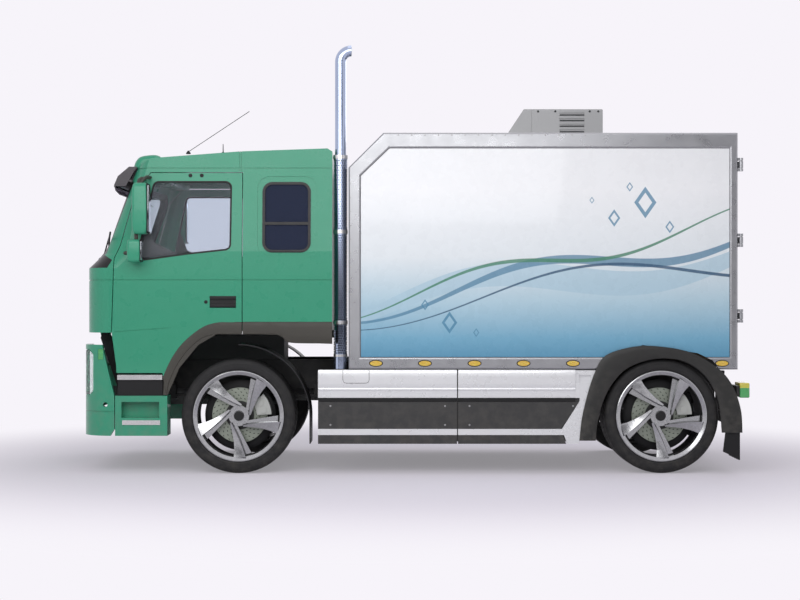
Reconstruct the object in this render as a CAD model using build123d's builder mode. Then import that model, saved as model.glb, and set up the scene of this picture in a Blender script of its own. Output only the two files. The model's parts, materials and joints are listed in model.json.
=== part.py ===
# A short two-axle cab-over box truck, modelled in millimetres.
# The frame: +X forward, +Y to the truck's left, +Z up, origin on the ground
# below the middle of the whole vehicle. Views are drawn from the front axle:
# a profile's first number is the distance ahead of that axle, its second the
# height above the ground.
from build123d import *
from math import asin, cos, pi, radians, sin, sqrt
import os

# Whole vehicle
front_overhang = 1470
wheelbase = 3810
rear_overhang = 790
axle_x = (front_overhang + wheelbase + rear_overhang) / 2 - front_overhang
rear_x = -wheelbase
rear_end = rear_x - rear_overhang

# Tyres and rims
tyre_radius = 517
rim_radius = 409
seat_radius = 389
rim_wall = 14
flange_width = 16
flange_inset = 8
front_tyre_width = 355
rear_tyre_width = 445
front_wheel_y = 1050
rear_wheel_y = 1005
face_inset = 12
spoke_count = 5
first_spoke = 52
blade_sweep = 50
blade_outer_radius = rim_radius - 34
blade_outer_width = 112
blade_inner_width = 18
blade_inner_radius = 92
bolt_circle_radius = 80
bolt_radius = 12
hub_radius = 100
cap_radius = 45

# Brakes and steering
disc_radius = 250
disc_width = 34
disc_inset = 140
spindle_radius = 45
bearing_gap = 1
kingpin_y = 880
kingpin_radius = 24
fork_height = 150
fork_depth = 44
eye_radius = 48
steer_arm_length = 230
steer_arm_depth = 24
stud_radius = 10
tie_rod_radius = 18
axle_z = tyre_radius

# Cab
cab_half_width = 1240
cab_roof_half_width = 1165
shoulder_z = 2000
cab_front = 1440
cab_back = -844
cab_wall = 55
cab_bottom = 1290
nose_drop = 23
cowl_z = 1851
screen_base_z = 1985
cowl_slope = 1.05
screen_slope = 0.385
brow_z = 2660
cab_roof_z = 2933
nose_radius = 9000
corner_radius = 300
panel_gap = 7
crease_depth = 6
crease_z = 1743
glass_depth = 14
glass_thickness = 8
seal_width = 16
tilt_x = 1330
tilt_z = 1215
tilt_pin_radius = 20
tilt_lug_y = 415

# Box body
body_half_width = 1250
body_front = -992
body_rear = rear_x - 682
body_bottom = 938
body_top = 3068
top_rail = 143
post_width = 112
rear_post_width = 76
sill_height = 113
frame_depth = 60
frame_rounding = 20
body_wall = 40
panel_inset = 6
floor_bottom = 1170
floor_thickness = 45
front_chamfer = 314
door_thickness = 42
door_pin_offset = 30
door_pin_radius = 12
door_pin_y = 1240

# Chassis
rail_y = 390
rail_depth = 270
rail_flange = 80
rail_wall = 10
rail_top = 1000
rail_front = 1210
rail_rear = rear_x - 640
tow_hole_radius = 20
tow_plate = 30
tow_pin_reach = 105
underrun_front = rail_rear + 20
underrun_depth = 80

# Skirts, fenders, steps and bumper
skirt_front = -718
skirt_seam = -1972
skirt_thickness = 26
fender_half_width = 1275
fender_shell = 12
mudguard_radius = 640
bumper_front = front_overhang
bumper_top = 1159
bumper_bottom = 341
bumper_wall = 55
bumper_split = 560
step_front = 1108
step_rear = 639
step_inner_y = 1000

# Exhaust
stack_x = -916
stack_y = 1120
pipe_radius = 50
pipe_wall = 4
bend_radius = 100
shield_radius = 62
shield_wall = 3
stack_top = 3870
stack_base = 940

body_floor_top = floor_bottom + floor_thickness
front_face = front_wheel_y + front_tyre_width / 2 - face_inset
rear_face = rear_wheel_y + rear_tyre_width / 2 - face_inset

os.makedirs("parts", exist_ok=True)


def side_plane(y):
    """Side view: X forward, Z up, with its normal to -Y."""
    return Plane(origin=(axle_x, y, 0), x_dir=(1, 0, 0), z_dir=(0, -1, 0))


def top_plane(z):
    return Plane(origin=(axle_x, 0, z), x_dir=(1, 0, 0), z_dir=(0, 0, 1))


def front_plane(x):
    """Front view: Y to the left, Z up, with its normal to +X."""
    return Plane(origin=(axle_x + x, 0, 0), x_dir=(0, 1, 0), z_dir=(1, 0, 0))


def slab(outline, inner_y, outer_y, corner=0):
    """A plate: a side outline between two distances from the middle."""
    with BuildPart() as plate:
        with BuildSketch(side_plane(outer_y)) as face:
            Polygon(*outline, align=None)
            if corner:
                fillet(face.vertices(), corner)
        extrude(amount=outer_y - inner_y)
    return plate.part


def block(rear, front, inner_y, outer_y, bottom, top, rounding=0):
    """A box between stated faces, with all its edges rounded if asked."""
    with BuildPart() as brick:
        with BuildSketch(top_plane(bottom)):
            with Locations(((rear + front) / 2, (inner_y + outer_y) / 2)):
                Rectangle(front - rear, outer_y - inner_y)
        extrude(amount=top - bottom)
        if rounding:
            fillet(brick.edges(), rounding)
    return brick.part


def cross_bar(x, z, radius, inner_y, outer_y):
    with BuildPart() as bar:
        with BuildSketch(side_plane(outer_y)):
            with Locations((x, z)):
                Circle(radius)
        extrude(amount=outer_y - inner_y)
    return bar.part


def ring(x, z, inner_radius, outer_radius, inner_y, outer_y):
    with BuildPart() as hoop:
        add(cross_bar(x, z, outer_radius, inner_y, outer_y))
        add(cross_bar(x, z, inner_radius, inner_y, outer_y), mode=Mode.SUBTRACT)
    return hoop.part


def upright(x, y, radius, bottom, top):
    with BuildPart() as post:
        with BuildSketch(top_plane(bottom)):
            with Locations((x, y)):
                Circle(radius)
        extrude(amount=top - bottom)
    return post.part


def right_of(part):
    """The same piece on the truck's right side."""
    return mirror(part, about=Plane.XZ)


def both_sides(part):
    return [part, right_of(part)]


def save(part, name):
    part.label = name
    export_step(part, f"parts/{name}.step")


def polar_point(radius, angle):
    return (radius * cos(radians(angle)), radius * sin(radians(angle)))


# Wheels


def make_tyre(width):
    """A tyre about the Y axis: square shoulders, upright walls, seated beads."""
    half = width / 2
    half_seat = half - flange_inset - flange_width
    with BuildPart() as tyre:
        with BuildSketch(Plane.XY):
            with BuildLine():
                walls = []
                for side in (1, -1):
                    wall = Polyline(
                        (seat_radius, side * half_seat),
                        (rim_radius, side * half_seat),
                        (rim_radius + 14, side * (half - 4)),
                        (rim_radius + 42, side * half),
                        (tyre_radius - 28, side * (half - 7)),
                        (tyre_radius - 7, side * (half - 22)),
                        (tyre_radius, side * (half - 48)),
                    )
                    walls.append(wall)
                Line(walls[0] @ 0, walls[1] @ 0)
                Line(walls[0] @ 1, walls[1] @ 1)
            make_face()
        revolve(axis=Axis.Y)
    return tyre.part


def blade_section(fraction, face):
    """One cross section of a swept blade, from the rim (0) to the hub (1).

    Its long side lies across the blade's path and leans more towards the hub,
    which twists the blade like a turbine's.
    """
    start = Vector(blade_outer_radius, 0)
    bend = Vector(0.62 * blade_outer_radius, 6)
    end = Vector(*polar_point(blade_inner_radius, blade_sweep))

    def path(t):
        return start * (1 - t) ** 2 + bend * (2 * t * (1 - t)) + end * t**2

    here = path(fraction)
    along = (path(fraction + 0.01) - path(fraction - 0.01)).normalized()
    across = Vector(-along.Y, along.X)
    width = blade_outer_width + (blade_inner_width - blade_outer_width) * fraction**0.8
    depth = 34 - 8 * fraction
    lean = radians(8 + 26 * fraction)
    front_y = face - 2 - 38 * fraction
    # The sketch plane's own axes: across the blade and out of the wheel
    out = Vector(0, 1, 0)
    across_3d = Vector(across.X, 0, across.Y)
    x_dir = across_3d * cos(lean) + out * sin(lean)
    normal = Vector(along.X, 0, along.Y)
    origin = Vector(here.X, front_y - depth / 2, here.Y)
    with BuildSketch(Plane(origin=origin, x_dir=x_dir, z_dir=normal)) as section:
        Rectangle(width, depth)
    return section.sketch


def make_rim(width):
    """An alloy rim about the Y axis, its five twisted blades on the +Y side."""
    half = width / 2
    half_seat = half - flange_inset - flange_width
    face = half - face_inset
    with BuildPart() as blade:
        for step in range(5):
            add(blade_section(step / 4, face))
        loft(ruled=True)
    # The darker blade behind each bright one: straight, from a wheel bolt out
    with BuildPart() as back_blade:
        with BuildSketch(Plane.XZ.offset(-(face - 80))):
            Polygon(
                polar_point(rim_radius - 34, -17),
                polar_point(rim_radius - 34, -7),
                polar_point(bolt_circle_radius + 12, 30),
                polar_point(bolt_circle_radius + 12, 10),
                align=None,
            )
        extrude(amount=-30)
    with BuildPart() as rim:
        with BuildSketch(Plane.XY):
            Polygon(
                (seat_radius, half_seat),
                (rim_radius, half_seat),
                (rim_radius, half - flange_inset),
                (rim_radius - 8, half - 4),
                (rim_radius - 37, half - 22),
                (rim_radius - 47, half - 70),
                (seat_radius - rim_wall, half - 110),
                (seat_radius - rim_wall, -half_seat),
                (rim_radius - 24, -half + flange_inset),
                (rim_radius, -half + flange_inset),
                (rim_radius, -half_seat),
                (seat_radius, -half_seat),
                align=None,
            )
        revolve(axis=Axis.Y)
        # Hub with its centre cap and wheel bolts
        with BuildSketch(Plane.XZ.offset(-(face - 84))):
            Circle(hub_radius)
        extrude(amount=-34, taper=12)
        with BuildSketch(Plane.XZ.offset(-(face - 52))):
            Circle(cap_radius)
        extrude(amount=-26, taper=8)
        with BuildSketch(Plane.XZ.offset(-(face - 52))):
            with PolarLocations(bolt_circle_radius, spoke_count, start_angle=first_spoke + 20):
                Circle(bolt_radius)
        extrude(amount=-16)
        for number in range(spoke_count):
            turn = first_spoke + number * 360 / spoke_count
            add(blade.part, rotation=(0, -turn, 0))
            add(back_blade.part, rotation=(0, -turn, 0))
    return rim.part


def make_disc(width):
    """The brake disc behind the blades, bolted to the hub by its hat."""
    face = width / 2 - face_inset
    inner_face = face - disc_inset - disc_width
    with BuildPart() as disc:
        with BuildSketch(Plane.XZ.offset(-inner_face)):
            Circle(disc_radius)
        extrude(amount=-disc_width)
        with BuildSketch(Plane.XZ.offset(-(inner_face + disc_width))):
            Circle(hub_radius - 12)
        extrude(amount=-(disc_inset - 84))
        with BuildSketch(Plane.XZ.offset(-inner_face)):
            Circle(spindle_radius + bearing_gap)
        extrude(amount=-(disc_width + disc_inset - 84 - 10), mode=Mode.SUBTRACT)
    return disc.part


wheels = (
    # axle name, distance ahead of the front axle, centre's Y, tyre width
    ("front", 0, front_wheel_y, front_tyre_width),
    ("rear", rear_x, rear_wheel_y, rear_tyre_width),
)
for axle, x, y, width in wheels:
    kinds = (("tyre", make_tyre(width)), ("rim", make_rim(width)), ("brake_disc", make_disc(width)))
    for kind, piece in kinds:
        with BuildPart() as left_piece:
            add(Pos(axle_x + x, y, axle_z) * piece)
        with BuildPart() as right_piece:
            add(right_of(left_piece.part))
        save(left_piece.part, f"{kind}_{axle}_left")
        save(right_piece.part, f"{kind}_{axle}_right")


# Front axle, knuckles and tie rod

caliper_start = 138
caliper_sweep = 40
disc_hub_depth = disc_inset - 84


def caliper_set(x, face, mount_y):
    """A brake caliper over the disc's rear edge, on its bracket."""
    disc_outer = face - disc_inset
    disc_inner = disc_outer - disc_width
    outer_radius = disc_radius + 40
    inner_radius = disc_radius - 92
    with BuildPart() as clamp:
        with BuildSketch(side_plane(disc_outer + 42)):
            with BuildLine():
                top_arc = CenterArc((x, axle_z), outer_radius, caliper_start, caliper_sweep)
                low_arc = CenterArc((x, axle_z), inner_radius, caliper_start, caliper_sweep)
                Line(top_arc @ 0, low_arc @ 0)
                Line(top_arc @ 1, low_arc @ 1)
            make_face()
        extrude(amount=disc_width + 100)
        # Two round piston bosses on the outer cheek
        with BuildSketch(side_plane(disc_outer + 50)):
            for angle in (caliper_start + 11, caliper_start + 29):
                dx, dz = polar_point(disc_radius - 28, angle)
                with Locations((x + dx, axle_z + dz)):
                    Circle(30)
        extrude(amount=10)
        add(ring(x, axle_z, 20, disc_radius + 8, disc_inner - 8, disc_outer + 8), mode=Mode.SUBTRACT)
        bracket_y = disc_inner - 30
        add(slab([(x - 230, axle_z + 30), (x - 40, axle_z + 30), (x - 40, axle_z + 100), (x - 230, axle_z + 100)],
                 mount_y, bracket_y))
    return clamp.part


with BuildPart() as knuckle_left:
    # The spindle that carries the hub
    add(cross_bar(0, axle_z, spindle_radius, kingpin_y + 60, front_face - disc_hub_depth - 38))
    add(block(-62, 62, kingpin_y + eye_radius + 8, kingpin_y + 84, axle_z - fork_height, axle_z + fork_height))
    for level in (axle_z + fork_height - fork_depth, axle_z - fork_height):
        with BuildSketch(top_plane(level)):
            with Locations((0, kingpin_y)):
                Circle(eye_radius)
            with Locations((0, kingpin_y + 35)):
                Rectangle(2 * eye_radius, 70)
        extrude(amount=fork_depth)
    # The king pin through the beam's eye
    add(upright(0, kingpin_y, kingpin_radius, axle_z - fork_height, axle_z + fork_height))
    # The steering arm and its ball stud
    with BuildSketch(top_plane(axle_z - fork_height - steer_arm_depth)):
        with Locations((-steer_arm_length / 2, kingpin_y)):
            SlotOverall(steer_arm_length + 2 * eye_radius, 64)
    extrude(amount=steer_arm_depth)
    add(upright(-steer_arm_length, kingpin_y, stud_radius, axle_z - fork_height - 84, axle_z - fork_height - 20))
    add(caliper_set(0, front_face, kingpin_y + 60))

with BuildPart() as knuckle_right:
    add(right_of(knuckle_left.part))
save(knuckle_left.part, "knuckle_left")
save(knuckle_right.part, "knuckle_right")

rod_z = axle_z - fork_height - 56
with BuildPart() as tie_rod:
    add(cross_bar(-steer_arm_length, rod_z, tie_rod_radius, -kingpin_y + 14, kingpin_y - 14))
    for side in (1, -1):
        add(upright(-steer_arm_length, side * kingpin_y, 28, rod_z - 24, rod_z + 24))
    for side in (1, -1):
        add(upright(-steer_arm_length, side * kingpin_y, stud_radius + bearing_gap, rod_z - 40, rod_z + 40),
            mode=Mode.SUBTRACT)
save(tie_rod.part, "tie_rod")

with BuildPart() as front_axle:
    # A forged beam, dropped in the middle, with an eye at each end
    with BuildSketch(front_plane(-45)):
        for side in (1, -1):
            Polygon(
                (0, axle_z - 125),
                (side * 560, axle_z - 125),
                (side * (kingpin_y - 60), axle_z - 66),
                (side * (kingpin_y - 20), axle_z - 66),
                (side * (kingpin_y - 20), axle_z + 66),
                (side * (kingpin_y - 110), axle_z + 66),
                (side * 560, axle_z - 20),
                (0, axle_z - 20),
                align=None,
            )
    extrude(amount=90)
    # The forging's side pockets leave an I section
    for x in (-46, 26):
        add(block(x, x + 20, -540, 540, axle_z - 105, axle_z - 40), mode=Mode.SUBTRACT)
    for side in (1, -1):
        add(upright(0, side * kingpin_y, eye_radius, axle_z - fork_height + fork_depth + 2,
                    axle_z + fork_height - fork_depth - 2))
        add(upright(0, side * kingpin_y, kingpin_radius + bearing_gap, axle_z - fork_height,
                    axle_z + fork_height), mode=Mode.SUBTRACT)
save(front_axle.part, "front_axle")

with BuildPart() as rear_axle:
    tube_end = rear_wheel_y - 245
    add(cross_bar(rear_x, axle_z, 72, -tube_end, tube_end))
    for side in (1, -1):
        near, far = sorted((side * (tube_end - 40), side * (rear_face - disc_hub_depth - 38)))
        add(cross_bar(rear_x, axle_z, spindle_radius, near, far))
    with BuildSketch(side_plane(95)):
        with Locations((rear_x, axle_z)):
            Circle(185)
    extrude(amount=190, taper=0)
    with BuildSketch(front_plane(rear_x + 100)):
        with Locations((0, axle_z + 60)):
            Circle(95)
    extrude(amount=140, taper=10)
    fillet(rear_axle.edges().filter_by(GeomType.CIRCLE).group_by(SortBy.RADIUS)[-1], 60)
    brake = caliper_set(rear_x, rear_face, tube_end - 60)
    for clamp in both_sides(brake):
        add(clamp)
save(rear_axle.part, "rear_axle")


# Chassis

cross_members = (rail_front - 60, -1180, -2320, rear_x + 420, rail_rear + 60)
with BuildPart() as chassis_frame:
    for side in (1, -1):
        with BuildSketch(front_plane(rail_rear)):
            with Locations((side * rail_y, rail_top - rail_depth / 2)):
                Rectangle(rail_flange, rail_depth)
            with Locations((side * (rail_y - rail_wall), rail_top - rail_depth / 2)):
                Rectangle(rail_flange, rail_depth - 2 * rail_wall, mode=Mode.SUBTRACT)
        extrude(amount=rail_front - rail_rear)
    for x in cross_members:
        half = rail_y + rail_flange / 2 - rail_wall
        add(block(x - 40, x + 40, -half, half, rail_top - rail_depth + 60, rail_top - 60))
    # Front brackets that carry the cab's tilt pins
    bracket = [
        (rail_front - 210, rail_top),
        (rail_front, rail_top - rail_depth),
        (tilt_x + 44, tilt_z - 10),
        (tilt_x + 30, tilt_z + 40),
        (tilt_x - 30, tilt_z + 40),
        (tilt_x - 60, tilt_z - 10),
    ]
    cheek = 18
    for shift in (-40, 24):
        for plate in both_sides(slab(bracket, tilt_lug_y + shift, tilt_lug_y + shift + cheek)):
            add(plate)
    for pin in both_sides(cross_bar(tilt_x, tilt_z, tilt_pin_radius, tilt_lug_y - 46, tilt_lug_y + 48)):
        add(pin)
    # The rear towing plate with its pin hole
    tow_pin_x = rail_rear - tow_pin_reach
    add(block(tow_pin_x - 2 * tow_hole_radius, rail_rear + 30, -70, 70, 850, 850 + tow_plate))
    add(upright(tow_pin_x, 0, tow_hole_radius, 800, 900), mode=Mode.SUBTRACT)
save(chassis_frame.part, "chassis_frame")

springs = (
    # axle's place, half length, distance from the middle, spring seat's height
    (0, 680, 520, axle_z - 20),
    (rear_x, 560, 560, axle_z + 72),
)
with BuildPart() as leaf_springs:
    for x, half_length, y, seat_z in springs:
        for leaf in range(3):
            reach = half_length - leaf * 170
            for part in both_sides(block(x - reach, x + reach, y - 40, y + 40, 660 - leaf * 22, 682 - leaf * 22)):
                add(part)
        for part in both_sides(block(x - 60, x + 60, y - 40, y + 40, seat_z, 640)):
            add(part)
        for end in (-1, 1):
            hanger = block(x + end * half_length - 30, x + end * half_length + 30, rail_y + 40, y + 40, 640, 780)
            for part in both_sides(hanger):
                add(part)
save(leaf_springs.part, "leaf_springs")

with BuildPart() as power_unit:
    add(block(-350, 800, -310, 310, 570, 1225))
    add(block(-1100, -350, -200, 200, 600, 980))
    # The radiator stands in front of the engine
    add(block(1215, 1285, -350, 350, 480, 1150))
    # The propeller shaft with its two joints
    with BuildSketch(front_plane(rear_x + 244)):
        with Locations((0, 640)):
            Circle(50)
    extrude(amount=-1100 - (rear_x + 244))
    for x in (rear_x + 244, -1150):
        with BuildSketch(front_plane(x)):
            with Locations((0, 640)):
                Circle(78)
        extrude(amount=50)
save(power_unit.part, "power_unit")

with BuildPart() as tanks:
    tank_blocks = (
        # rear, front, inner y, outer y, bottom, top
        (-1900, -1060, 520, 1180, 380, 880),
        (-2900, -2050, 520, 1180, 460, 860),
    )
    for sizes in tank_blocks:
        for part in both_sides(block(*sizes, rounding=60)):
            add(part)
    # Silencer below the stack, with the stack's foot on it
    add(block(-1040, -740, 640, 1190, 480, 900, rounding=50))
    add(upright(stack_x, stack_y, shield_radius, 890, stack_base))
save(tanks.part, "tanks")


# Exhaust

bend_x = stack_x - bend_radius
bend_z = stack_top - pipe_radius - bend_radius
bend_axis = Axis((axle_x + bend_x, stack_y, bend_z), (0, -1, 0))
with BuildPart() as exhaust_stack:
    for radius, mode in ((pipe_radius, Mode.ADD), (pipe_radius - pipe_wall, Mode.SUBTRACT)):
        with BuildSketch(top_plane(stack_base)):
            with Locations((stack_x, stack_y)):
                Circle(radius)
        extrude(amount=bend_z - stack_base, mode=mode)
        with BuildSketch(top_plane(bend_z)):
            with Locations((stack_x, stack_y)):
                Circle(radius)
        revolve(axis=bend_axis, revolution_arc=90, mode=mode)
    # A wider base tube below the shield
    add(upright(stack_x, stack_y, shield_radius, stack_base, 1046))
    add(upright(stack_x, stack_y, pipe_radius - pipe_wall, stack_base, 1046), mode=Mode.SUBTRACT)
save(exhaust_stack.part, "exhaust_stack")

with BuildPart() as heat_shield:
    add(upright(stack_x, stack_y, shield_radius, 1051, 2875))
    add(upright(stack_x, stack_y, shield_radius - shield_wall, 1051, 2875), mode=Mode.SUBTRACT)
    # Plain clamp bands round the shield
    for bottom in (1339, 2160, 2840):
        add(upright(stack_x, stack_y, shield_radius + 4, bottom, bottom + 34))
    add(upright(stack_x, stack_y, shield_radius - shield_wall, 1051, 2900), mode=Mode.SUBTRACT)
save(heat_shield.part, "heat_shield")


# Cab

door_outline = [
    (926, 2552),
    (1061, 2058),
    (1115, 1941),
    (1137, 1267),
    (1088, 907),
    (666, 907),
    (531, 1123),
    (288, 1294),
    (28, 1366),
    (-32, 1366),
    (-32, 2709),
    (792, 2709),
]
door_window = [(768, 2637), (926, 1905), (477, 1968), (64, 2013), (58, 2637)]
quarter_window = [(-215, 1990), (-651, 1990), (-651, 2628), (-215, 2628)]
quarter_recess = [(-170, 1959), (-709, 1959), (-709, 2678), (-170, 2678)]
rear_arch = [
    (cab_back, 1366),
    (-39, 1366),
    (-39, 1258),
    (-376, 1249),
    (-448, 1181),
    (cab_back, 1168),
]
front_arch = [
    (-32, 1365),
    (28, 1365),
    (288, 1293),
    (531, 1122),
    (666, 906),
    (675, 708),
    (637, 708),
    (612, 764),
    (531, 952),
    (360, 1159),
    (190, 1258),
    (-32, 1258),
]
arch_cut = [
    (cab_back - 50, 1367),
    (35, 1367),
    (300, 1290),
    (531, 1130),
    (531, 1000),
    (cab_back - 50, 1000),
]
# The dark part of the nose: cowl, windscreen surround and front pillars
screen_surround = [
    (cab_front + 60, 1853),
    (1180, 1853),
    (1128, 1941),
    (1074, 2058),
    (939, 2552),
    (939, 2640),
    (cab_front + 60, 2640),
]
skin_y = cab_half_width - cab_wall
far_y = cab_half_width + 60


def nose_outline(inset, front, rear):
    """Plan of the cab's nose: one shallow arc, rounded corners, straight sides."""
    half = cab_half_width - inset
    corner = corner_radius - inset
    nose = nose_radius - inset
    # The corner arc touches the big nose arc inside and the side wall
    lean = asin((half - corner) / (nose - corner))
    touch_y = nose * sin(lean)
    touch_x = front - nose * (1 - cos(lean))
    centre_x = front - nose + (nose - corner) * cos(lean)
    mid = (pi / 2 + lean) / 2
    with BuildSketch() as plan:
        with BuildLine():
            ThreePointArc((touch_x, -touch_y), (front, 0), (touch_x, touch_y))
            for side in (1, -1):
                ThreePointArc(
                    (touch_x, side * touch_y),
                    (centre_x + corner * cos(mid), side * (half - corner + corner * sin(mid))),
                    (centre_x, side * half),
                )
                Line((centre_x, side * half), (rear, side * half))
            Line((rear, half), (rear, -half))
        make_face()
    return plan.sketch


def cab_envelope(inset):
    """The cab's outer form, or the same form a given depth inside it."""
    front = cab_front - inset
    back = cab_back + inset
    far_back = cab_back - 1500
    floor_z = cab_bottom + (inset if inset == cab_wall else 0)
    nose_z = cab_bottom + (inset if inset == cab_wall else -nose_drop)
    cowl_rise = screen_base_z - cowl_z
    screen_rise = cab_roof_z - screen_base_z + 100
    bases = (
        # base z, front x there, rise, slope
        (cab_bottom - 400, front, cowl_z - cab_bottom + 400, 0),
        (cowl_z, front, cowl_rise, cowl_slope),
        (screen_base_z, front - cowl_rise * cowl_slope, screen_rise, screen_slope),
    )
    with BuildPart() as form:
        for base, nose, rise, slope in bases:
            plan = nose_outline(inset, nose, far_back)
            with BuildSketch(top_plane(base)):
                add(plan)
            extrude(amount=rise * sqrt(1 + slope**2), dir=Vector(-slope, 0, 1).normalized())
    half = cab_half_width - inset
    roof_half = cab_roof_half_width - inset
    roof = cab_roof_z + 20 - inset
    with BuildPart() as section:
        with BuildSketch(front_plane(back)):
            Polygon(
                (-half, 800),
                (-half, shoulder_z),
                (-roof_half, roof),
                (roof_half, roof),
                (half, shoulder_z),
                (half, 800),
                align=None,
            )
        extrude(amount=cab_front - back + 10 + max(0, -inset))
    with BuildPart() as profile:
        with BuildSketch(side_plane(far_y)):
            Polygon(
                (back, floor_z),
                (back, cab_roof_z - 28 - inset),
                (back + 45, cab_roof_z - inset),
                (-17, cab_roof_z - 27 - inset),
                (780 - inset, cab_roof_z - 87 - inset),
                (985 - inset, cab_roof_z - 168 - inset),
                (1045 - inset, brow_z),
                (cab_front + 30, brow_z),
                (cab_front + 30, nose_z),
                align=None,
            )
        extrude(amount=2 * far_y)
    return form.part & section.part & profile.part


cab_outer = cab_envelope(0)
cab_inner = cab_envelope(cab_wall)
crease_core = cab_envelope(crease_depth)
glass_outer = cab_envelope(glass_depth)
glass_inner = cab_envelope(glass_depth + glass_thickness)

door_prism = slab(door_outline, 1050, far_y)
with BuildPart() as wide_door:
    with BuildSketch(side_plane(far_y)) as hole_face:
        Polygon(*door_outline, align=None)
        offset(amount=panel_gap, kind=Kind.INTERSECTION)
    extrude(amount=far_y - 1040)
# Low down the opening is only as deep as the wall, so the floor runs up to it
with BuildPart() as door_hole:
    add(wide_door.part)
    add(block(-100, 1300, 1030, skin_y - 10, 800, 1420), mode=Mode.SUBTRACT)
arch_prism = slab(arch_cut, skin_y, far_y)
window_prism = slab(door_window, 1050, far_y, corner=60)
quarter_prism = slab(quarter_window, 1050, far_y, corner=90)
recess_prism = slab(quarter_recess, 1050, far_y, corner=110)


def inner_rim(outline, corner, width):
    """The strip just inside a window's outline."""
    with BuildPart() as strip:
        with BuildSketch(side_plane(far_y)) as face:
            Polygon(*outline, align=None)
            fillet(face.vertices(), corner)
        extrude(amount=far_y - 1050)
        with BuildSketch(side_plane(far_y)) as hole:
            Polygon(*outline, align=None)
            fillet(hole.vertices(), corner)
            offset(amount=-width)
        extrude(amount=far_y - 1050, mode=Mode.SUBTRACT)
    return strip.part


with BuildPart() as screen_prism:
    with BuildSketch(front_plane(700)) as screen_face:
        Polygon((-1090, 2010), (1090, 2010), (1010, 2590), (-1010, 2590), align=None)
        fillet(screen_face.vertices(), 90)
    extrude(amount=800)

# Grooves: two creases round the cab, the seam over its roof, the recess round
# each quarter window
groove_width = 9
with BuildPart() as grooves:
    for z in (crease_z, 2752):
        add(block(cab_back + crease_depth, cab_front + 20, -far_y, far_y, z - groove_width / 2, z + groove_width / 2))
    for x in (-24, -8):
        add(block(x - 3, x + 3, -far_y, far_y, 2722, cab_roof_z + 40))
    for part in both_sides(recess_prism):
        add(part)
    add(crease_core, mode=Mode.SUBTRACT)

surround_prism = slab(screen_surround, -far_y, far_y)

# A step well behind each door, below the floor
well_rear = [(666, 907), (684, 907), (549, 1129), (549, 1345), (531, 1345), (531, 1123)]
well_side = [(666, 907), (1108, 907), (1108, 1345), (531, 1345), (531, 1123)]
well_inner_y = 862
with BuildPart() as step_wells:
    for part in both_sides(slab(well_side, well_inner_y, well_inner_y + 18)):
        add(part)
    for part in both_sides(slab(well_rear, well_inner_y, skin_y - 10)):
        add(part)
    for part in both_sides(block(1090, 1108, well_inner_y, skin_y - 10, 907, 1345)):
        add(part)
    for part in both_sides(block(670, 1108, well_inner_y, skin_y - 10, 907, 925)):
        add(part)
    for part in both_sides(block(830, 1100, well_inner_y, skin_y - 10, 1108, 1126)):
        add(part)
well_mouth = block(549, 1090, well_inner_y + 18, skin_y - 5, cab_bottom - 20, cab_bottom + cab_wall + 10)

# The lugs that turn on the chassis' tilt pins
tilt_bore_radius = tilt_pin_radius + 0.05
lug_outline = [(tilt_x - 40, tilt_z), (tilt_x + 40, tilt_z), (tilt_x + 60, 1300), (tilt_x - 60, 1300)]
with BuildPart() as tilt_lug:
    add(slab(lug_outline, tilt_lug_y - 18, tilt_lug_y + 18))
    add(cross_bar(tilt_x, tilt_z, 40, tilt_lug_y - 18, tilt_lug_y + 18))
    add(cross_bar(tilt_x, tilt_z, tilt_bore_radius, tilt_lug_y - 18, tilt_lug_y + 18), mode=Mode.SUBTRACT)

with BuildPart() as cab_walls:
    add(cab_outer)
    add(cab_inner, mode=Mode.SUBTRACT)
    for hole in both_sides(door_hole.part):
        add(hole, mode=Mode.SUBTRACT)
    for hole in both_sides(quarter_prism):
        add(hole, mode=Mode.SUBTRACT)
    for hole in both_sides(arch_prism):
        add(hole, mode=Mode.SUBTRACT)
    for hole in both_sides(well_mouth):
        add(hole, mode=Mode.SUBTRACT)
    add(screen_prism.part, mode=Mode.SUBTRACT)
    add(grooves.part, mode=Mode.SUBTRACT)

with BuildPart() as cab_shell:
    add(cab_walls.part)
    add(surround_prism, mode=Mode.SUBTRACT)
    add(step_wells.part)
    for lug in both_sides(tilt_lug.part):
        add(lug)
save(cab_shell.part, "cab_shell")

quarter_frame = (cab_outer & inner_rim(quarter_window, 90, seal_width + 8)) - glass_outer
quarter_bar = (cab_outer & block(-651, -215, 1100, far_y, 2240, 2266)) - glass_outer
with BuildPart() as window_frames:
    add(cab_walls.part & surround_prism)
    for part in both_sides(quarter_frame + quarter_bar):
        add(part)
save(window_frames.part, "window_frames")

quarter_glass = (glass_outer & quarter_prism) - glass_inner
with BuildPart() as cab_glass:
    add(glass_outer & screen_prism.part)
    add(glass_inner, mode=Mode.SUBTRACT)
    for pane in both_sides(quarter_glass):
        add(pane)
save(cab_glass.part, "cab_glass")

# The door's lower end reaches below the cab floor, over the step well
lower_door = block(600, 1180, skin_y, cab_half_width, 880, cab_bottom + 60)
handle_recess = block(19, 257, cab_half_width - 30, far_y, 1492, 1599)
sill_line = [(1115, 1271), (1115, 1280), (360, 1335), (360, 1326)]
with BuildPart() as door_left:
    add((cab_outer - cab_inner) & door_prism)
    add(block(-100, 1300, 1040, skin_y, 800, 1420), mode=Mode.SUBTRACT)
    add(lower_door & door_prism)
    add(window_prism, mode=Mode.SUBTRACT)
    add(grooves.part, mode=Mode.SUBTRACT)
    add(handle_recess, mode=Mode.SUBTRACT)
    add(slab(sill_line, cab_half_width - 5, far_y), mode=Mode.SUBTRACT)
with BuildPart() as door_right:
    add(right_of(door_left.part))
save(door_left.part, "door_left")
save(door_right.part, "door_right")

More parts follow.
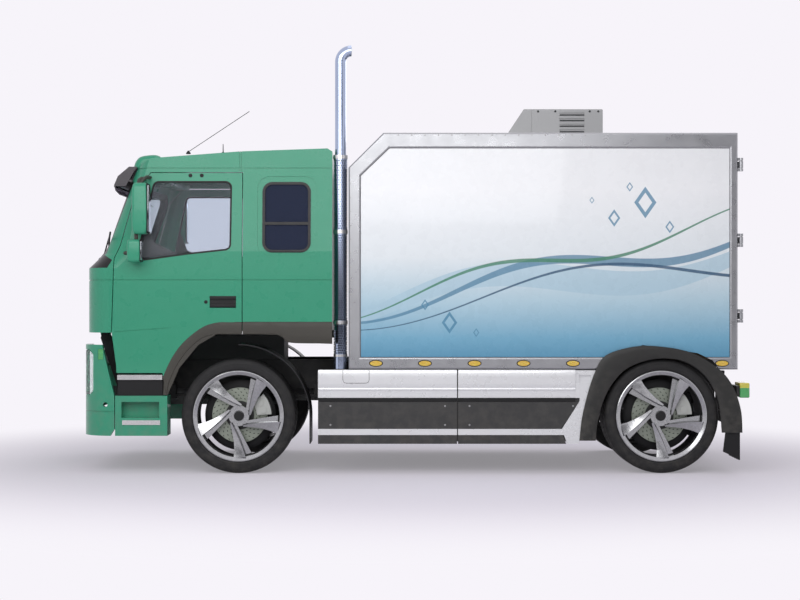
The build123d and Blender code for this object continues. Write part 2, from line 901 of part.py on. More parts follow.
with BuildPart() as door_glass_left:
    add((glass_outer & window_prism) - glass_inner)
with BuildPart() as door_glass_right:
    add(right_of(door_glass_left.part))
save(door_glass_left.part, "door_glass_left")
save(door_glass_right.part, "door_glass_right")

with BuildPart() as door_trim_left:
    add(slab(front_arch, 1190, 1236))
    # The window's rubber and the corner piece at its front
    add((cab_outer & inner_rim(door_window, 60, seal_width)) - glass_outer)
    # The pull handle across its recess
    add(block(19, 257, cab_half_width - 16, cab_half_width - 2, 1528, 1562))
with BuildPart() as door_trim_right:
    add(right_of(door_trim_left.part))
save(door_trim_left.part, "door_trim_left")
save(door_trim_right.part, "door_trim_right")

with BuildPart() as mirror_left:
    add(block(783, 926, 1300, 1480, 2147, 2606, rounding=30))
    add(block(849, 971, 1300, 1460, 1899, 2103, rounding=25))
    # Arms to the door above and below
    upper_arm = [(730, 2618), (838, 2618), (905, 2590), (905, 2640), (838, 2687), (730, 2687)]
    add(slab(upper_arm, 1170, 1420))
    lower_arm = [(905, 2040), (905, 1995), (960, 1965), (1060, 1965), (1060, 2000), (990, 2040)]
    add(slab(lower_arm, 1200, 1400))
    add(block(880, 910, 1370, 1400, 2080, 2180))
    add(cab_outer, mode=Mode.SUBTRACT)
with BuildPart() as mirror_right:
    add(right_of(mirror_left.part))
save(mirror_left.part, "mirror_left")
save(mirror_right.part, "mirror_right")

visor_profile = [
    (940, 2776),
    (1010, 2776),
    (1112, 2690),
    (1146, 2610),
    (1146, 2588),
    (1132, 2588),
    (1132, 2606),
    (1098, 2680),
    (1000, 2756),
    (940, 2756),
]
with BuildPart() as roof_visor:
    add(slab(visor_profile, -1060, 1060))
    for part in both_sides(slab([(940, 2776), (1010, 2776), (1112, 2690), (1146, 2600), (1040, 2600)], 1048, 1060)):
        add(part)
    add(cab_outer, mode=Mode.SUBTRACT)
save(roof_visor.part, "roof_visor")

column_start = 28
column_axis = Vector(-0.5, 0, sqrt(0.75))
wheel_centre = (axle_x + 700, 560, 1980)
column_origin = Vector(*wheel_centre) - column_axis * 400
with BuildPart() as dashboard:
    add(block(900, 1320, -1100, 1100, 1380, 1900))
    add(cab_inner, mode=Mode.INTERSECT)
    # Foot of the dashboard and the steering column
    add(block(1180, 1300, -800, 800, cab_bottom + cab_wall, 1390))
    with BuildSketch(Plane(origin=column_origin, z_dir=column_axis)):
        Circle(34)
    extrude(amount=400 - column_start)
save(dashboard.part, "dashboard")

with BuildPart() as seats:
    for y in (-560, 560):
        add(block(-120, 420, y - 250, y + 250, 1560, 1780, rounding=40))
        add(block(-60, 340, y - 180, y + 180, cab_bottom + cab_wall, 1570))
        back_rest = [(-300, 2330), (-190, 2330), (-60, 1760), (-160, 1700), (-240, 1740)]
        add(slab(back_rest, y - 240, y + 240))
        add(block(-300, -200, y - 120, y + 120, 2300, 2500, rounding=30))
save(seats.part, "seats")

with BuildPart() as steering_wheel:
    with Locations(Plane(origin=wheel_centre, x_dir=(0, 1, 0), z_dir=column_axis)):
        Torus(220, 16)
        Cylinder(48, 36)
        Box(440, 34, 14)
        with Locations((0, -110, 0)):
            Box(34, 220, 14)
save(steering_wheel.part, "steering_wheel")

grille_half = 720
with BuildPart() as front_grille:
    add(cab_envelope(-10) & block(1200, cab_front + 20, -grille_half, grille_half, 1345, 1700))
    add(cab_outer, mode=Mode.SUBTRACT)
    for z in range(1380, 1690, 62):
        add(block(1200, cab_front + 20, -grille_half + 50, grille_half - 50, z, z + 36), mode=Mode.SUBTRACT)
save(front_grille.part, "front_grille")

with BuildPart() as cab_arches:
    for part in both_sides(slab(rear_arch, 1190, 1236)):
        add(part)
save(cab_arches.part, "cab_arches")


# Front end below the cab

bumper_side = [
    (1227, bumper_top),
    (bumper_front + 10, bumper_top),
    (bumper_front + 10, bumper_bottom),
    (1150, bumper_bottom),
    (1115, 400),
    (1115, 701),
]
with BuildPart() as bumper_form:
    with BuildSketch(top_plane(bumper_bottom)):
        add(nose_outline(0, bumper_front, 1000))
    extrude(amount=bumper_top - bumper_bottom)
    add(slab(bumper_side, -1300, 1300), mode=Mode.INTERSECT)
with BuildPart() as bumper_core:
    with BuildSketch(top_plane(bumper_bottom)):
        add(nose_outline(bumper_wall, bumper_front - bumper_wall, 900))
    extrude(amount=bumper_top - bumper_bottom)
with BuildPart() as bumper_skin:
    with BuildSketch(top_plane(bumper_bottom)):
        add(nose_outline(crease_depth, bumper_front - crease_depth, 900))
    extrude(amount=bumper_top - bumper_bottom)
bumper_shell = bumper_form.part - bumper_core.part


def front_prism(inner_y, outer_y, bottom, top, corner):
    """A rounded rectangle seen from the front, through the bumper's wall."""
    with BuildPart() as prism:
        with BuildSketch(front_plane(1180)):
            with Locations(((inner_y + outer_y) / 2, (bottom + top) / 2)):
                RectangleRounded(outer_y - inner_y, top - bottom, corner)
        extrude(amount=400)
    return prism.part


lamp_prism = front_prism(790, 1160, 705, 1110, 60)
lamp_hole = front_prism(784, 1166, 699, 1116, 64)
intake_hole = front_prism(-640, 640, 400, 540, 40)
marker_hole = block(1214, 1268, 1180, far_y, 1024, 1123)
with BuildPart() as front_bumper:
    add(bumper_shell)
    add(block(1200, 1500, -780, 780, 1060, 1200), mode=Mode.SUBTRACT)
    for hole in both_sides(lamp_hole):
        add(hole, mode=Mode.SUBTRACT)
    add(intake_hole, mode=Mode.SUBTRACT)
    split = block(1050, 1500, -far_y, far_y, bumper_split - 4, bumper_split + 4)
    add(split - bumper_skin.part, mode=Mode.SUBTRACT)
    for hole in both_sides(marker_hole - bumper_skin.part):
        add(hole, mode=Mode.SUBTRACT)
    for hole in both_sides(cross_bar(1198, 623, 22, 1150, far_y)):
        add(hole, mode=Mode.SUBTRACT)
    # Brackets from the frame rails' front ends
    for part in both_sides(block(rail_front, 1420, 352, 370, rail_top - rail_depth + 20, rail_top - 60)):
        add(part)
    # The front towing eye's socket
    with BuildSketch(front_plane(1370)):
        with Locations((-540, 620)):
            Circle(42)
    extrude(amount=60)
    with BuildSketch(front_plane(1300)):
        with Locations((-540, 620)):
            Circle(tow_hole_radius)
    extrude(amount=300, mode=Mode.SUBTRACT)
save(front_bumper.part, "front_bumper")

with BuildPart() as headlamps:
    left_lamp = (bumper_form.part & lamp_prism) - bumper_core.part
    for face in both_sides(left_lamp):
        add(face)
save(headlamps.part, "headlamps")

with BuildPart() as step_boxes:
    step_box = block(step_rear, step_front, step_inner_y, 1236, bumper_bottom, 701)
    step_hole = block(711, 1052, 1120, far_y, 503, 647)
    for part in both_sides(step_box - step_hole):
        add(part)
    # Arms to the frame rails
    for part in both_sides(block(1120 - 60, 1120 - 20, rail_y + rail_flange / 2, step_inner_y, 620, 690)):
        add(part)
    for part in both_sides(block(1060, 1100, rail_y + 10, rail_y + rail_flange / 2 + 30, 690, 730)):
        add(part)
save(step_boxes.part, "step_boxes")

with BuildPart() as step_treads:
    for part in both_sides(block(684, 1088, 1000, 1236, 845, 889)):
        add(part)
    for part in both_sides(block(702, 1043, 1236, 1244, 440, 481)):
        add(part)
save(step_treads.part, "step_treads")

# Quarter mudguards behind the steered wheels, dark step panels, rear flaps
flap_x = rear_x - 694
with BuildPart() as mudguards:
    with BuildPart(mode=Mode.PRIVATE) as guard:
        add(ring(0, axle_z, mudguard_radius, mudguard_radius + 10, 870, 1235))
        add(block(0, 900, 800, 1300, -300, 1300), mode=Mode.SUBTRACT)
        add(block(-900, 0, 800, 1300, -300, axle_z), mode=Mode.SUBTRACT)
        add(block(-mudguard_radius - 10, -mudguard_radius, 870, 1235, 270, axle_z))
    for part in both_sides(guard.part):
        add(part)
    for part in both_sides(block(684, 1088, step_inner_y, 1210, 701, 845)):
        add(part)
    flap_side = [(-547, 200), (-700, 130), (-700, 500), (-620, 620), (-600, 620)]
    with BuildPart(mode=Mode.PRIVATE) as flap:
        add(block(flap_x - 6, flap_x + 6, 780, 1250, 126, 490))
        add(slab([(rear_x + x, z) for x, z in flap_side], 1240, 1250))
    for part in both_sides(flap.part):
        add(part)
save(mudguards.part, "mudguards")


# Box body

frame_sides = [
    (body_front, body_bottom),
    (body_rear, body_bottom),
    (body_rear, body_top),
    (body_front - front_chamfer, body_top),
    (body_front, body_top - front_chamfer),
]
panel_outline = [
    (body_front - post_width, body_bottom + sill_height),
    (body_rear + rear_post_width, body_bottom + sill_height),
    (body_rear + rear_post_width, body_top - top_rail),
    (-1361, body_top - top_rail),
    (body_front - post_width, 2678),
]
# Outlines of the rear wheel's fender, measured from the rear axle
fender_outer = [
    (738, 100),
    (738, 279),
    (558, 889),
    (526, 1033),
    (172, 1155),
    (-322, 1082),
    (-453, 1018),
    (-610, 809),
    (-700, 620),
    (-734, 368),
    (-734, 100),
]
fender_opening = [
    (607, 279),
    (433, 889),
    (280, 975),
    (1, 1010),
    (-436, 925),
    (-581, 665),
    (-661, 395),
    (-661, 200),
    (607, 200),
]
fender_face = [(rear_x + x, z) for x, z in fender_outer]
fender_hole = [(rear_x + x, z) for x, z in fender_opening]


def fender_form(inset):
    """The solid bounded by the fender's outline, or the same a shell inside."""
    with BuildPart() as form:
        with BuildSketch(side_plane(fender_half_width)):
            Polygon(*fender_face, align=None)
            offset(amount=-inset, kind=Kind.INTERSECTION)
        extrude(amount=fender_half_width - 780)
    return form.part


with BuildPart() as fender_space:
    add(fender_form(-3))

with BuildPart() as side_frame:
    add(slab(frame_sides, body_half_width - frame_depth, body_half_width))
    add(slab(panel_outline, body_half_width - frame_depth - 10, far_y), mode=Mode.SUBTRACT)
    fillet(side_frame.faces().sort_by(Axis.Y)[-1].edges(), frame_rounding)

door_bottom = 1206
door_top = 3002
hinge_heights = (1420, 2100, 2780)
pin_x = body_rear - door_pin_offset
with BuildPart() as body_frame:
    for part in both_sides(side_frame.part):
        add(part)
    # Rear portal rails above and below the doors
    for bottom, top in ((body_bottom + sill_height, door_bottom - 6), (door_top + 6, body_top)):
        add(block(body_rear, body_rear + 60, -1195, 1195, bottom, top))
    for part in both_sides(fender_space.part):
        add(part, mode=Mode.SUBTRACT)
    # Hinge lugs on the rear posts, with their pins
    for z in hinge_heights:
        for side in (1, -1):
            near, far = sorted((side * (door_pin_y - 18), side * body_half_width))
            for bottom in (z - 60, z + 36):
                add(block(pin_x, body_rear + 5, near, far, bottom, bottom + 24))
                add(upright(pin_x, side * door_pin_y, 18, bottom, bottom + 24))
            add(upright(pin_x, side * door_pin_y, door_pin_radius, z - 60, z + 60))
save(body_frame.part, "body_frame")

with BuildPart() as side_panels:
    panel = slab(panel_outline, body_half_width - panel_inset - body_wall, body_half_width - panel_inset)
    for part in both_sides(panel - fender_space.part):
        add(part)
save(side_panels.part, "side_panels")

bearers = (-1500, -2150, -2800, rear_x + 650, rear_x - 580)
with BuildPart() as load_floor:
    add(block(body_rear + 65, body_front - 53, -1188, 1188, floor_bottom, body_floor_top))
    for part in both_sides(block(body_rear + 100, body_front - 100, 350, 430, rail_top, floor_bottom)):
        add(part)
    for x in bearers:
        add(block(x - 30, x + 30, -1188, 1188, 1090, floor_bottom))
save(load_floor.part, "load_floor")

roof_under = body_top - 48
with BuildPart() as body_walls:
    with BuildSketch(side_plane(1190)):
        Polygon(
            (body_front - 8, rail_top),
            (body_front - 8, body_top - front_chamfer - 3),
            (body_front - front_chamfer - 3, body_top - 8),
            (body_rear + 60, body_top - 8),
            (body_rear + 60, roof_under),
            (body_front - front_chamfer + 13, roof_under),
            (body_front - 53, body_top - front_chamfer - 22),
            (body_front - 53, rail_top),
            align=None,
        )
    extrude(amount=2380)
save(body_walls.part, "body_walls")

cooler_profile = [(-3342, body_top - 8), (-3342, 3341), (-2608, 3341), (-2421, body_top - 8)]
with BuildPart() as roof_cooler:
    add(slab(cooler_profile, -700, 700))
    fillet(roof_cooler.faces().sort_by(Axis.Z)[-1].edges(), 14)
    # Louvres in each side
    for side in (1, -1):
        near, far = sorted((side * 690, side * 710))
        for z in range(3120, 3320, 52):
            add(block(-3170, -2940, near, far, z, z + 30), mode=Mode.SUBTRACT)
    # Seam between the nose and the fan's housing
    for side in (1, -1):
        near, far = sorted((side * 694, side * 710))
        add(block(-2684, -2676, near, far, body_top, 3360), mode=Mode.SUBTRACT)
save(roof_cooler.part, "roof_cooler")

lock_rod_y = 210
knuckle_radius = 18
with BuildPart() as rear_door_left:
    add(block(body_rear, body_rear + door_thickness, 4, 1184, door_bottom, door_top))
    # A raised frame round the door's outer face
    add(block(body_rear - 6, body_rear, 4, 1184, door_bottom, door_top))
    add(block(body_rear - 8, body_rear, 70, 1120, door_bottom + 70, door_top - 70), mode=Mode.SUBTRACT)
    # Lock rod with its guides and handle
    add(upright(body_rear - 26, lock_rod_y, 11, door_bottom + 10, door_top - 10))
    for z in (1300, 1700, 2300, 2900):
        add(block(body_rear - 40, body_rear, lock_rod_y - 28, lock_rod_y + 28, z - 22, z + 22))
    add(block(body_rear - 46, body_rear - 32, lock_rod_y - 10, lock_rod_y + 300, 1560, 1590))
    add(block(body_rear - 40, body_rear - 14, lock_rod_y - 12, lock_rod_y + 12, 1556, 1594))
    # Straps to the hinge knuckles
    for z in hinge_heights:
        add(block(body_rear - 8, body_rear, 860, 1180, z - 30, z + 30))
        add(block(pin_x + 6, body_rear, 1150, 1176, z - 30, z + 30))
        add(block(pin_x - 4, pin_x + 18, 1150, door_pin_y, z - 30, z + 30))
        add(upright(pin_x, door_pin_y, knuckle_radius, z - 30, z + 30))
        add(upright(pin_x, door_pin_y, door_pin_radius + 0.05, z - 40, z + 40), mode=Mode.SUBTRACT)
with BuildPart() as rear_door_right:
    add(right_of(rear_door_left.part))
save(rear_door_left.part, "rear_door_left")
save(rear_door_right.part, "rear_door_right")

with BuildPart() as rear_fenders:
    with BuildPart(mode=Mode.PRIVATE) as fender:
        add(fender_form(0))
        add(fender_form(fender_shell) & block(rear_x - 900, rear_x + 900, 700, 1255, 0, 1300), mode=Mode.SUBTRACT)
        add(slab(fender_hole, 1240, far_y), mode=Mode.SUBTRACT)
        # Its ends stop on a slanting line, higher at the rear
        below = [(rear_x + 760, 278), (rear_x - 760, 370), (rear_x - 760, 50), (rear_x + 760, 50)]
        add(slab(below, 700, far_y), mode=Mode.SUBTRACT)
    for part in both_sides(fender.part):
        add(part)
save(rear_fenders.part, "rear_fenders")


# Skirts

seam = 5
skirt_end_top = -3248
skirt_end_bottom = -3064


def skirt_edge(z):
    """Where the skirt's slanting rear edge lies at a height."""
    return skirt_end_top + (890 - z) * (skirt_end_bottom - skirt_end_top) / 611


front_section = (skirt_front, skirt_seam + seam)
skirt_y = body_half_width - skirt_thickness
rear_start = skirt_seam - seam
with BuildPart() as skirt_rails_left:
    rails = (
        # the front section's bands, then the rear one's
        [(skirt_front, 766), (front_section[1], 766), (front_section[1], 931), (skirt_front, 931)],
        [(skirt_front, 350), (front_section[1], 350), (front_section[1], 404), (skirt_front, 404)],
        [(rear_start, 766), (skirt_edge(766), 766), (skirt_end_top, 890), (skirt_end_top, 931), (rear_start, 931)],
        [(rear_start, 350), (-2932, 350), (-2932, 404), (rear_start, 404)],
        [(-3070, 767), (skirt_edge(767), 767), (skirt_edge(272), 272), (-2956, 272), (-2910, 404), (-3070, 655)],
    )
    for band in rails:
        add(slab(band, skirt_y, body_half_width))
    lighter = (
        [(skirt_front, 683), (front_section[1], 683), (front_section[1], 767), (skirt_front, 767)],
        [(rear_start, 683), (-3070, 683), (-3070, 767), (rear_start, 767)],
    )
    for band in lighter:
        add(slab(band, skirt_y, body_half_width - 3))
    # Filler flap's outline
    add(block(-1180, -912, body_half_width - 4, far_y, 809, 935), mode=Mode.SUBTRACT)
    add(block(-1176, -916, skirt_y, body_half_width - 1, 813, 931))
    # Channel with a deeper grip at its rear end
    add(block(-3060, -2111, body_half_width - 8, far_y, 809, 907), mode=Mode.SUBTRACT)
    add(block(-3171, -3063, body_half_width - 18, far_y, 814, 886), mode=Mode.SUBTRACT)
with BuildPart() as skirt_rails:
    for part in both_sides(skirt_rails_left.part):
        add(part)
save(skirt_rails.part, "skirt_rails")

with BuildPart() as skirt_panels_left:
    dark = (
        [(skirt_front, 404), (front_section[1], 404), (front_section[1], 647), (skirt_front, 647)],
        [(skirt_front, 270), (front_section[1], 270), (front_section[1], 350), (skirt_front, 350)],
        [(rear_start, 404), (-2901, 404), (-3063, 647), (rear_start, 647)],
        [(rear_start, 270), (-2948, 270), (-2918, 350), (rear_start, 350)],
    )
    for band in dark:
        add(slab(band, skirt_y + 4, body_half_width - 4))
    # The plate behind all the bands, with its arms from the frame rails
    add(slab([(skirt_front, 290), (-2990, 290), (-3150, 900), (skirt_front, 900)], skirt_y - 8, skirt_y))
    for x in (-1250, -1800, -2200, -3000):
        add(block(x - 20, x + 20, rail_y + rail_flange / 2, skirt_y - 4, 890, 925))
with BuildPart() as skirt_panels:
    for part in both_sides(skirt_panels_left.part):
        add(part)
save(skirt_panels.part, "skirt_panels")


# Lamps and rear end

lamp_x = (-1239, -1679, -2125, -2565, -3009, -4348)
with BuildPart() as lamps:
    for x in lamp_x:
        with BuildPart(mode=Mode.PRIVATE) as marker:
            with BuildSketch(side_plane(body_half_width + 11)):
                with Locations((x, 994)):
                    Ellipse(54, 23)
            extrude(amount=11)
        for part in both_sides(marker.part):
            add(part)
    # Lamps low in the bumper's corners and the tail lamps
    corner_lamp = block(1217, 1265, 1200, far_y, 1027, 1120) & (bumper_form.part - bumper_skin.part)
    for part in both_sides(corner_lamp):
        add(part)
    for part in both_sides(block(rear_end, rear_x - 700, 1000, 1240, 683, 818, rounding=12)):
        add(part)
save(lamps.part, "lamps")

with BuildPart() as underrun_bar:
    add(block(underrun_front - underrun_depth, underrun_front, -760, 760, 430, 530, rounding=15))
    for part in both_sides(block(rear_x - 700, rear_x - 640, 360, 420, 500, 732)):
        add(part)
    # The beam that carries the tail lamps
    add(block(rear_x - 700, rear_x - 672, -1240, 1240, 700, 790))
    for part in both_sides(block(rear_x - 680, rail_rear, 366, 420, 740, 780)):
        add(part)
save(underrun_bar.part, "underrun_bar")
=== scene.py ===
# The looks of a two-axle cab-over box truck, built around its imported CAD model.
# Lengths are in metres: +X forward, +Y to the truck's left, +Z up. Places that
# follow the photograph are given in millimetres from the front axle's middle,
# at ground level, and turned into metres by at().
import json
from math import copysign, cos, dist, exp, pi, radians, sin, sqrt, tau

import bmesh
import bpy
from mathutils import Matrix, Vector


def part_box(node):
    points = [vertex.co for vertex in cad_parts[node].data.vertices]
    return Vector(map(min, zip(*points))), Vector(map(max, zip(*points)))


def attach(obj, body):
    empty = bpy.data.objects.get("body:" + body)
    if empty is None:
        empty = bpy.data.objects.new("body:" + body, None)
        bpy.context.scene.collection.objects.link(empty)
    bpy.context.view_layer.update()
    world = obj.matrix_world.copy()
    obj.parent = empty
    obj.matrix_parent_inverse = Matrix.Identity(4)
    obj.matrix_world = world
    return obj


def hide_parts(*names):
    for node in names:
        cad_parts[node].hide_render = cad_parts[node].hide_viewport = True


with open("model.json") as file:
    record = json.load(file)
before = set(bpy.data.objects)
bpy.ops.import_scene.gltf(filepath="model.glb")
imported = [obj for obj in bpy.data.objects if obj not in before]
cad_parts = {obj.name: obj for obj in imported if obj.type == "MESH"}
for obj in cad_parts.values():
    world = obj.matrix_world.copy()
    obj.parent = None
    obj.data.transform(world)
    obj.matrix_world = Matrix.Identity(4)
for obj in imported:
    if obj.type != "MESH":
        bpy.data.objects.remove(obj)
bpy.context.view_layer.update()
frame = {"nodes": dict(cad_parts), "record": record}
nodes = frame["nodes"]


def centre(node):
    low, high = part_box(node)
    return (low + high) / 2


front_hub = centre("tyre_front_left")
rear_hub = centre("tyre_rear_left")
both_sides = (("left", 1), ("right", -1))
both_axles = (("front", front_hub), ("rear", rear_hub))

# The windscreen leans back by this share of its rise, from this height up
screen_lean = 0.385
screen_foot = 1985
# The cab's front bows back by y squared over this length, in millimetres
front_bow = 18000
glass_ior = 1.12
paint_specular = 0.28
glass_specular = 0.9


def at(x, y, z):
    return Vector((front_hub.x + x / 1000, y / 1000, z / 1000))


# Materials


def srgb(red, green, blue):
    """A colour of a screen, from 0 to 255, as Blender's linear colour."""
    def linear(value):
        value /= 255
        return value / 12.92 if value <= 0.04045 else ((value + 0.055) / 1.055) ** 2.4
    return (linear(red), linear(green), linear(blue), 1.0)


def blank_material(name):
    """A material, its emptied node tree and the tree's output."""
    material = bpy.data.materials.new(name)
    material.use_nodes = True
    tree = material.node_tree
    tree.nodes.clear()
    return material, tree, tree.nodes.new("ShaderNodeOutputMaterial")


class Shader:
    """A material's node tree, built by short calls."""

    def __init__(self, name):
        self.material, self.tree, out = blank_material(name)
        self.surface = self.new("BsdfPrincipled")
        self.link(self.surface.outputs[0], out.inputs["Surface"])
        self.place = self.new("TexCoord").outputs["Object"]
        split = self.new("SeparateXYZ")
        self.link(self.place, split.inputs[0])
        self.x, self.y, self.z = split.outputs

    def new(self, kind):
        return self.tree.nodes.new("ShaderNode" + kind)

    def link(self, value, socket):
        if isinstance(value, bpy.types.NodeSocket):
            self.tree.links.new(value, socket)
        else:
            socket.default_value = value

    def set(self, **values):
        for name, value in values.items():
            self.link(value, self.surface.inputs[name.replace("_", " ")])

    def noise(self, scale, detail=3.0, stretch=(1, 1, 1)):
        mapping = self.new("Mapping")
        mapping.inputs["Scale"].default_value = stretch
        self.link(self.place, mapping.inputs["Vector"])
        noise = self.new("TexNoise")
        noise.inputs["Scale"].default_value = scale
        noise.inputs["Detail"].default_value = detail
        self.link(mapping.outputs[0], noise.inputs["Vector"])
        return noise.outputs["Fac"]

    def math(self, operation, first, second=0.0, third=0.0):
        node = self.new("Math")
        node.operation = operation
        for value, socket in zip((first, second, third), node.inputs):
            self.link(value, socket)
        return node.outputs[0]

    def minus(self, first, second):
        return self.math("SUBTRACT", first, second)

    def times(self, first, second):
        return self.math("MULTIPLY", first, second)

    def remap(self, value, low, high, to_low, to_high):
        node = self.new("MapRange")
        for number, socket in zip((value, low, high, to_low, to_high), node.inputs):
            self.link(number, socket)
        return node.outputs[0]

    def mix(self, factor, first, second):
        node = self.new("Mix")
        node.data_type = "RGBA"
        self.link(factor, node.inputs[0])
        self.link(first, node.inputs[6])
        self.link(second, node.inputs[7])
        return node.outputs[2]

    def below(self, value, limit, soft=0.001):
        """1 where the value is under the limit, else 0, with a soft edge."""
        return self.remap(value, limit - soft, limit + soft, 1.0, 0.0)

    def above(self, value, limit, soft=0.001):
        return self.remap(value, limit - soft, limit + soft, 0.0, 1.0)

    def both(self, first, second):
        return self.times(first, second)

    def either(self, first, second):
        return self.math("MAXIMUM", first, second)

    def radius(self, x, z):
        """Distance from a line along Y."""
        dx = self.minus(self.x, x)
        dz = self.minus(self.z, z)
        return self.math("SQRT", self.math("ADD", self.both(dx, dx), self.both(dz, dz)))

    def bump(self, height, distance, strength=1.0):
        node = self.new("Bump")
        node.inputs["Strength"].default_value = strength
        node.inputs["Distance"].default_value = distance
        self.link(height, node.inputs["Height"])
        self.link(node.outputs[0], self.surface.inputs["Normal"])


def tone(colour, factor):
    return tuple(min(1.0, c * factor) for c in colour[:3]) + (1.0,)


def finish(shader, colour, rough, spread=0.05, metallic=0.0, coat=0.0, grain=300, relief=0.0003,
           mottle=0.06, stretch=(1, 1, 1), dust=0.0):
    """Gives a shader a mottled colour, uneven roughness, road dust and a fine grain.

    The colour is a plain one or a socket.
    """
    patches = shader.noise(2.5, 5.0)
    if isinstance(colour, bpy.types.NodeSocket):
        dull = shader.new("HueSaturation")
        shader.link(shader.remap(patches, 0.3, 0.7, 1 - mottle, 1 + mottle), dull.inputs["Value"])
        shader.link(colour, dull.inputs["Color"])
        mottled = dull.outputs[0]
    else:
        mottled = shader.mix(patches, tone(colour, 1 - mottle), tone(colour, 1 + mottle))
    if dust:
        low = shader.remap(shader.z, 0.25, 1.1, dust, 0.0)
        spots = shader.remap(shader.noise(14.0, 6.0), 0.4, 0.75, 0.0, 1.0)
        mottled = shader.mix(shader.both(low, spots), mottled, srgb(136, 130, 122))
    shader.set(
        Base_Color=mottled,
        Metallic=metallic,
        Roughness=shader.remap(shader.noise(9.0, 4.0), 0.3, 0.7, rough - spread, rough + spread),
        Coat_Weight=coat,
        Coat_Roughness=0.05,
    )
    if metallic < 0.5:
        shader.set(Specular_IOR_Level=paint_specular)
    if relief:
        shader.bump(shader.noise(grain, 2.0, stretch), relief)
    return shader.material


def surface(name, colour, rough, **options):
    return finish(Shader(name), colour, rough, **options)


paint_green = srgb(58, 152, 120)
near_black = srgb(26, 26, 27)
green_paint = surface("green_paint", paint_green, 0.3, coat=0.18, relief=0.00004, mottle=0.025)
low_green = surface("low_green_paint", paint_green, 0.32, coat=0.25, relief=0.00004,
                    mottle=0.03, dust=0.25)
silver_paint = surface("silver_paint", srgb(226, 227, 229), 0.3, metallic=0.25, coat=0.5,
                       relief=0.00004, mottle=0.02)
body_metal = surface("body_metal", srgb(158, 159, 162), 0.3, metallic=0.8, grain=220, relief=0.00008,
                     mottle=0.05, stretch=(0.1, 1, 1))
grey_paint = surface("grey_paint", srgb(60, 60, 60), 0.4, coat=0.1, grain=250, relief=0.00005, dust=0.15)
fender_plastic = surface("fender_plastic", srgb(48, 48, 47), 0.42, grain=400, dust=0.2)
dark_trim = surface("dark_trim", srgb(70, 68, 63), 0.5, grain=500)
black_plastic = surface("black_plastic", srgb(24, 24, 26), 0.5, grain=500)
frame_black = surface("frame_black", srgb(38, 38, 40), 0.5, grain=80, relief=0.0005, mottle=0.15, dust=0.3)
cast_grey = surface("cast_grey", srgb(84, 85, 86), 0.6, grain=120, relief=0.001, mottle=0.15, dust=0.3)
interior_cloth = surface("interior_cloth", srgb(58, 58, 56), 0.9, grain=900, relief=0.0008)
seat_cloth = surface("seat_cloth", srgb(70, 72, 78), 0.95, grain=1400, relief=0.001, mottle=0.12)
seat_piping = surface("seat_piping", srgb(40, 41, 44), 0.7, grain=900, relief=0.0004)
chrome_tone = srgb(172, 184, 208)
chrome = surface("chrome", chrome_tone, 0.1, metallic=1.0, grain=100, relief=0.00003, mottle=0.03)
polished = surface("polished_metal", srgb(214, 214, 214), 0.22, metallic=0.95, grain=200, relief=0.00005)
bolt_steel = surface("bolt_steel", srgb(150, 150, 150), 0.35, metallic=0.9, grain=200, relief=0.0001)
white_plastic = surface("white_plastic", srgb(176, 177, 178), 0.36, coat=0.2, relief=0.0001,
                        mottle=0.03)
deck_wood = surface("deck_wood", srgb(120, 105, 84), 0.7, grain=30, relief=0.0008, stretch=(0.1, 1, 1))
seal_rubber = surface("seal_rubber", srgb(22, 22, 23), 0.6, grain=400)
louvre_dark = surface("louvre_dark", srgb(60, 62, 64), 0.6, relief=0.0002)
mirror_face = surface("mirror_face", srgb(225, 232, 238), 0.03, spread=0.01, metallic=1.0, relief=0,
                      mottle=0.01)
smoked_lip = Shader("smoked_lip")
smoked_lip.set(Base_Color=srgb(150, 140, 158), Roughness=0.15, Transmission_Weight=0.7, IOR=1.3)


def clear(name, colour, transmission, rough=0.02):
    """Glass or clear plastic with faint streaks in its roughness."""
    shader = Shader(name)
    shader.set(
        Base_Color=shader.mix(shader.noise(1.5), tone(colour, 0.97), colour),
        Roughness=shader.remap(shader.noise(4.0), 0.3, 0.7, rough * 0.6, rough * 1.4),
        Transmission_Weight=transmission,
        IOR=glass_ior,
    )
    shader.set(Specular_IOR_Level=glass_specular)
    return shader.material


side_glass = clear("side_glass", srgb(226, 232, 240), 0.96)
navy_glass = Shader("cab_glass")
rear_panes = navy_glass.below(navy_glass.x, front_hub.x - 0.1)
navy_glass.set(
    Base_Color=navy_glass.mix(rear_panes, srgb(222, 230, 236), srgb(44, 52, 76)),
    Roughness=0.03,
    Transmission_Weight=navy_glass.remap(rear_panes, 0.0, 1.0, 0.95, 0.25),
    IOR=glass_ior,
)
lamp_glass = clear("lamp_glass", srgb(232, 242, 240), 0.92)

# The front pillars are painted; the cowl and the strip along the glass are dark
surround = Shader("screen_surround")
lean = surround.math("ADD", surround.x, surround.times(surround.z, screen_lean))
dark_edge = surround.above(lean, front_hub.x + 1.985)
inward = surround.below(surround.math("ABSOLUTE", surround.y), 1.085)
cowl = surround.below(surround.minus(surround.z, surround.times(surround.x, 0.55)),
                      1.925 - 0.55 * (front_hub.x + 1.14))
rear_frames = surround.below(surround.x, front_hub.x - 0.1)
dark_part = surround.either(surround.either(dark_edge, cowl), surround.either(inward, rear_frames))
surround_finish = finish(surround, surround.mix(dark_part, paint_green, near_black), 0.34, coat=0.05,
                         relief=0.00005, mottle=0.03)

# The door's rubber is near black, the arch below and the handle dark grey
trim = Shader("door_trim_finish")
trim_low = trim.below(trim.z, 1.42)
trim_finish = finish(trim, trim.mix(trim_low, near_black, srgb(70, 68, 63)), 0.5, grain=500)

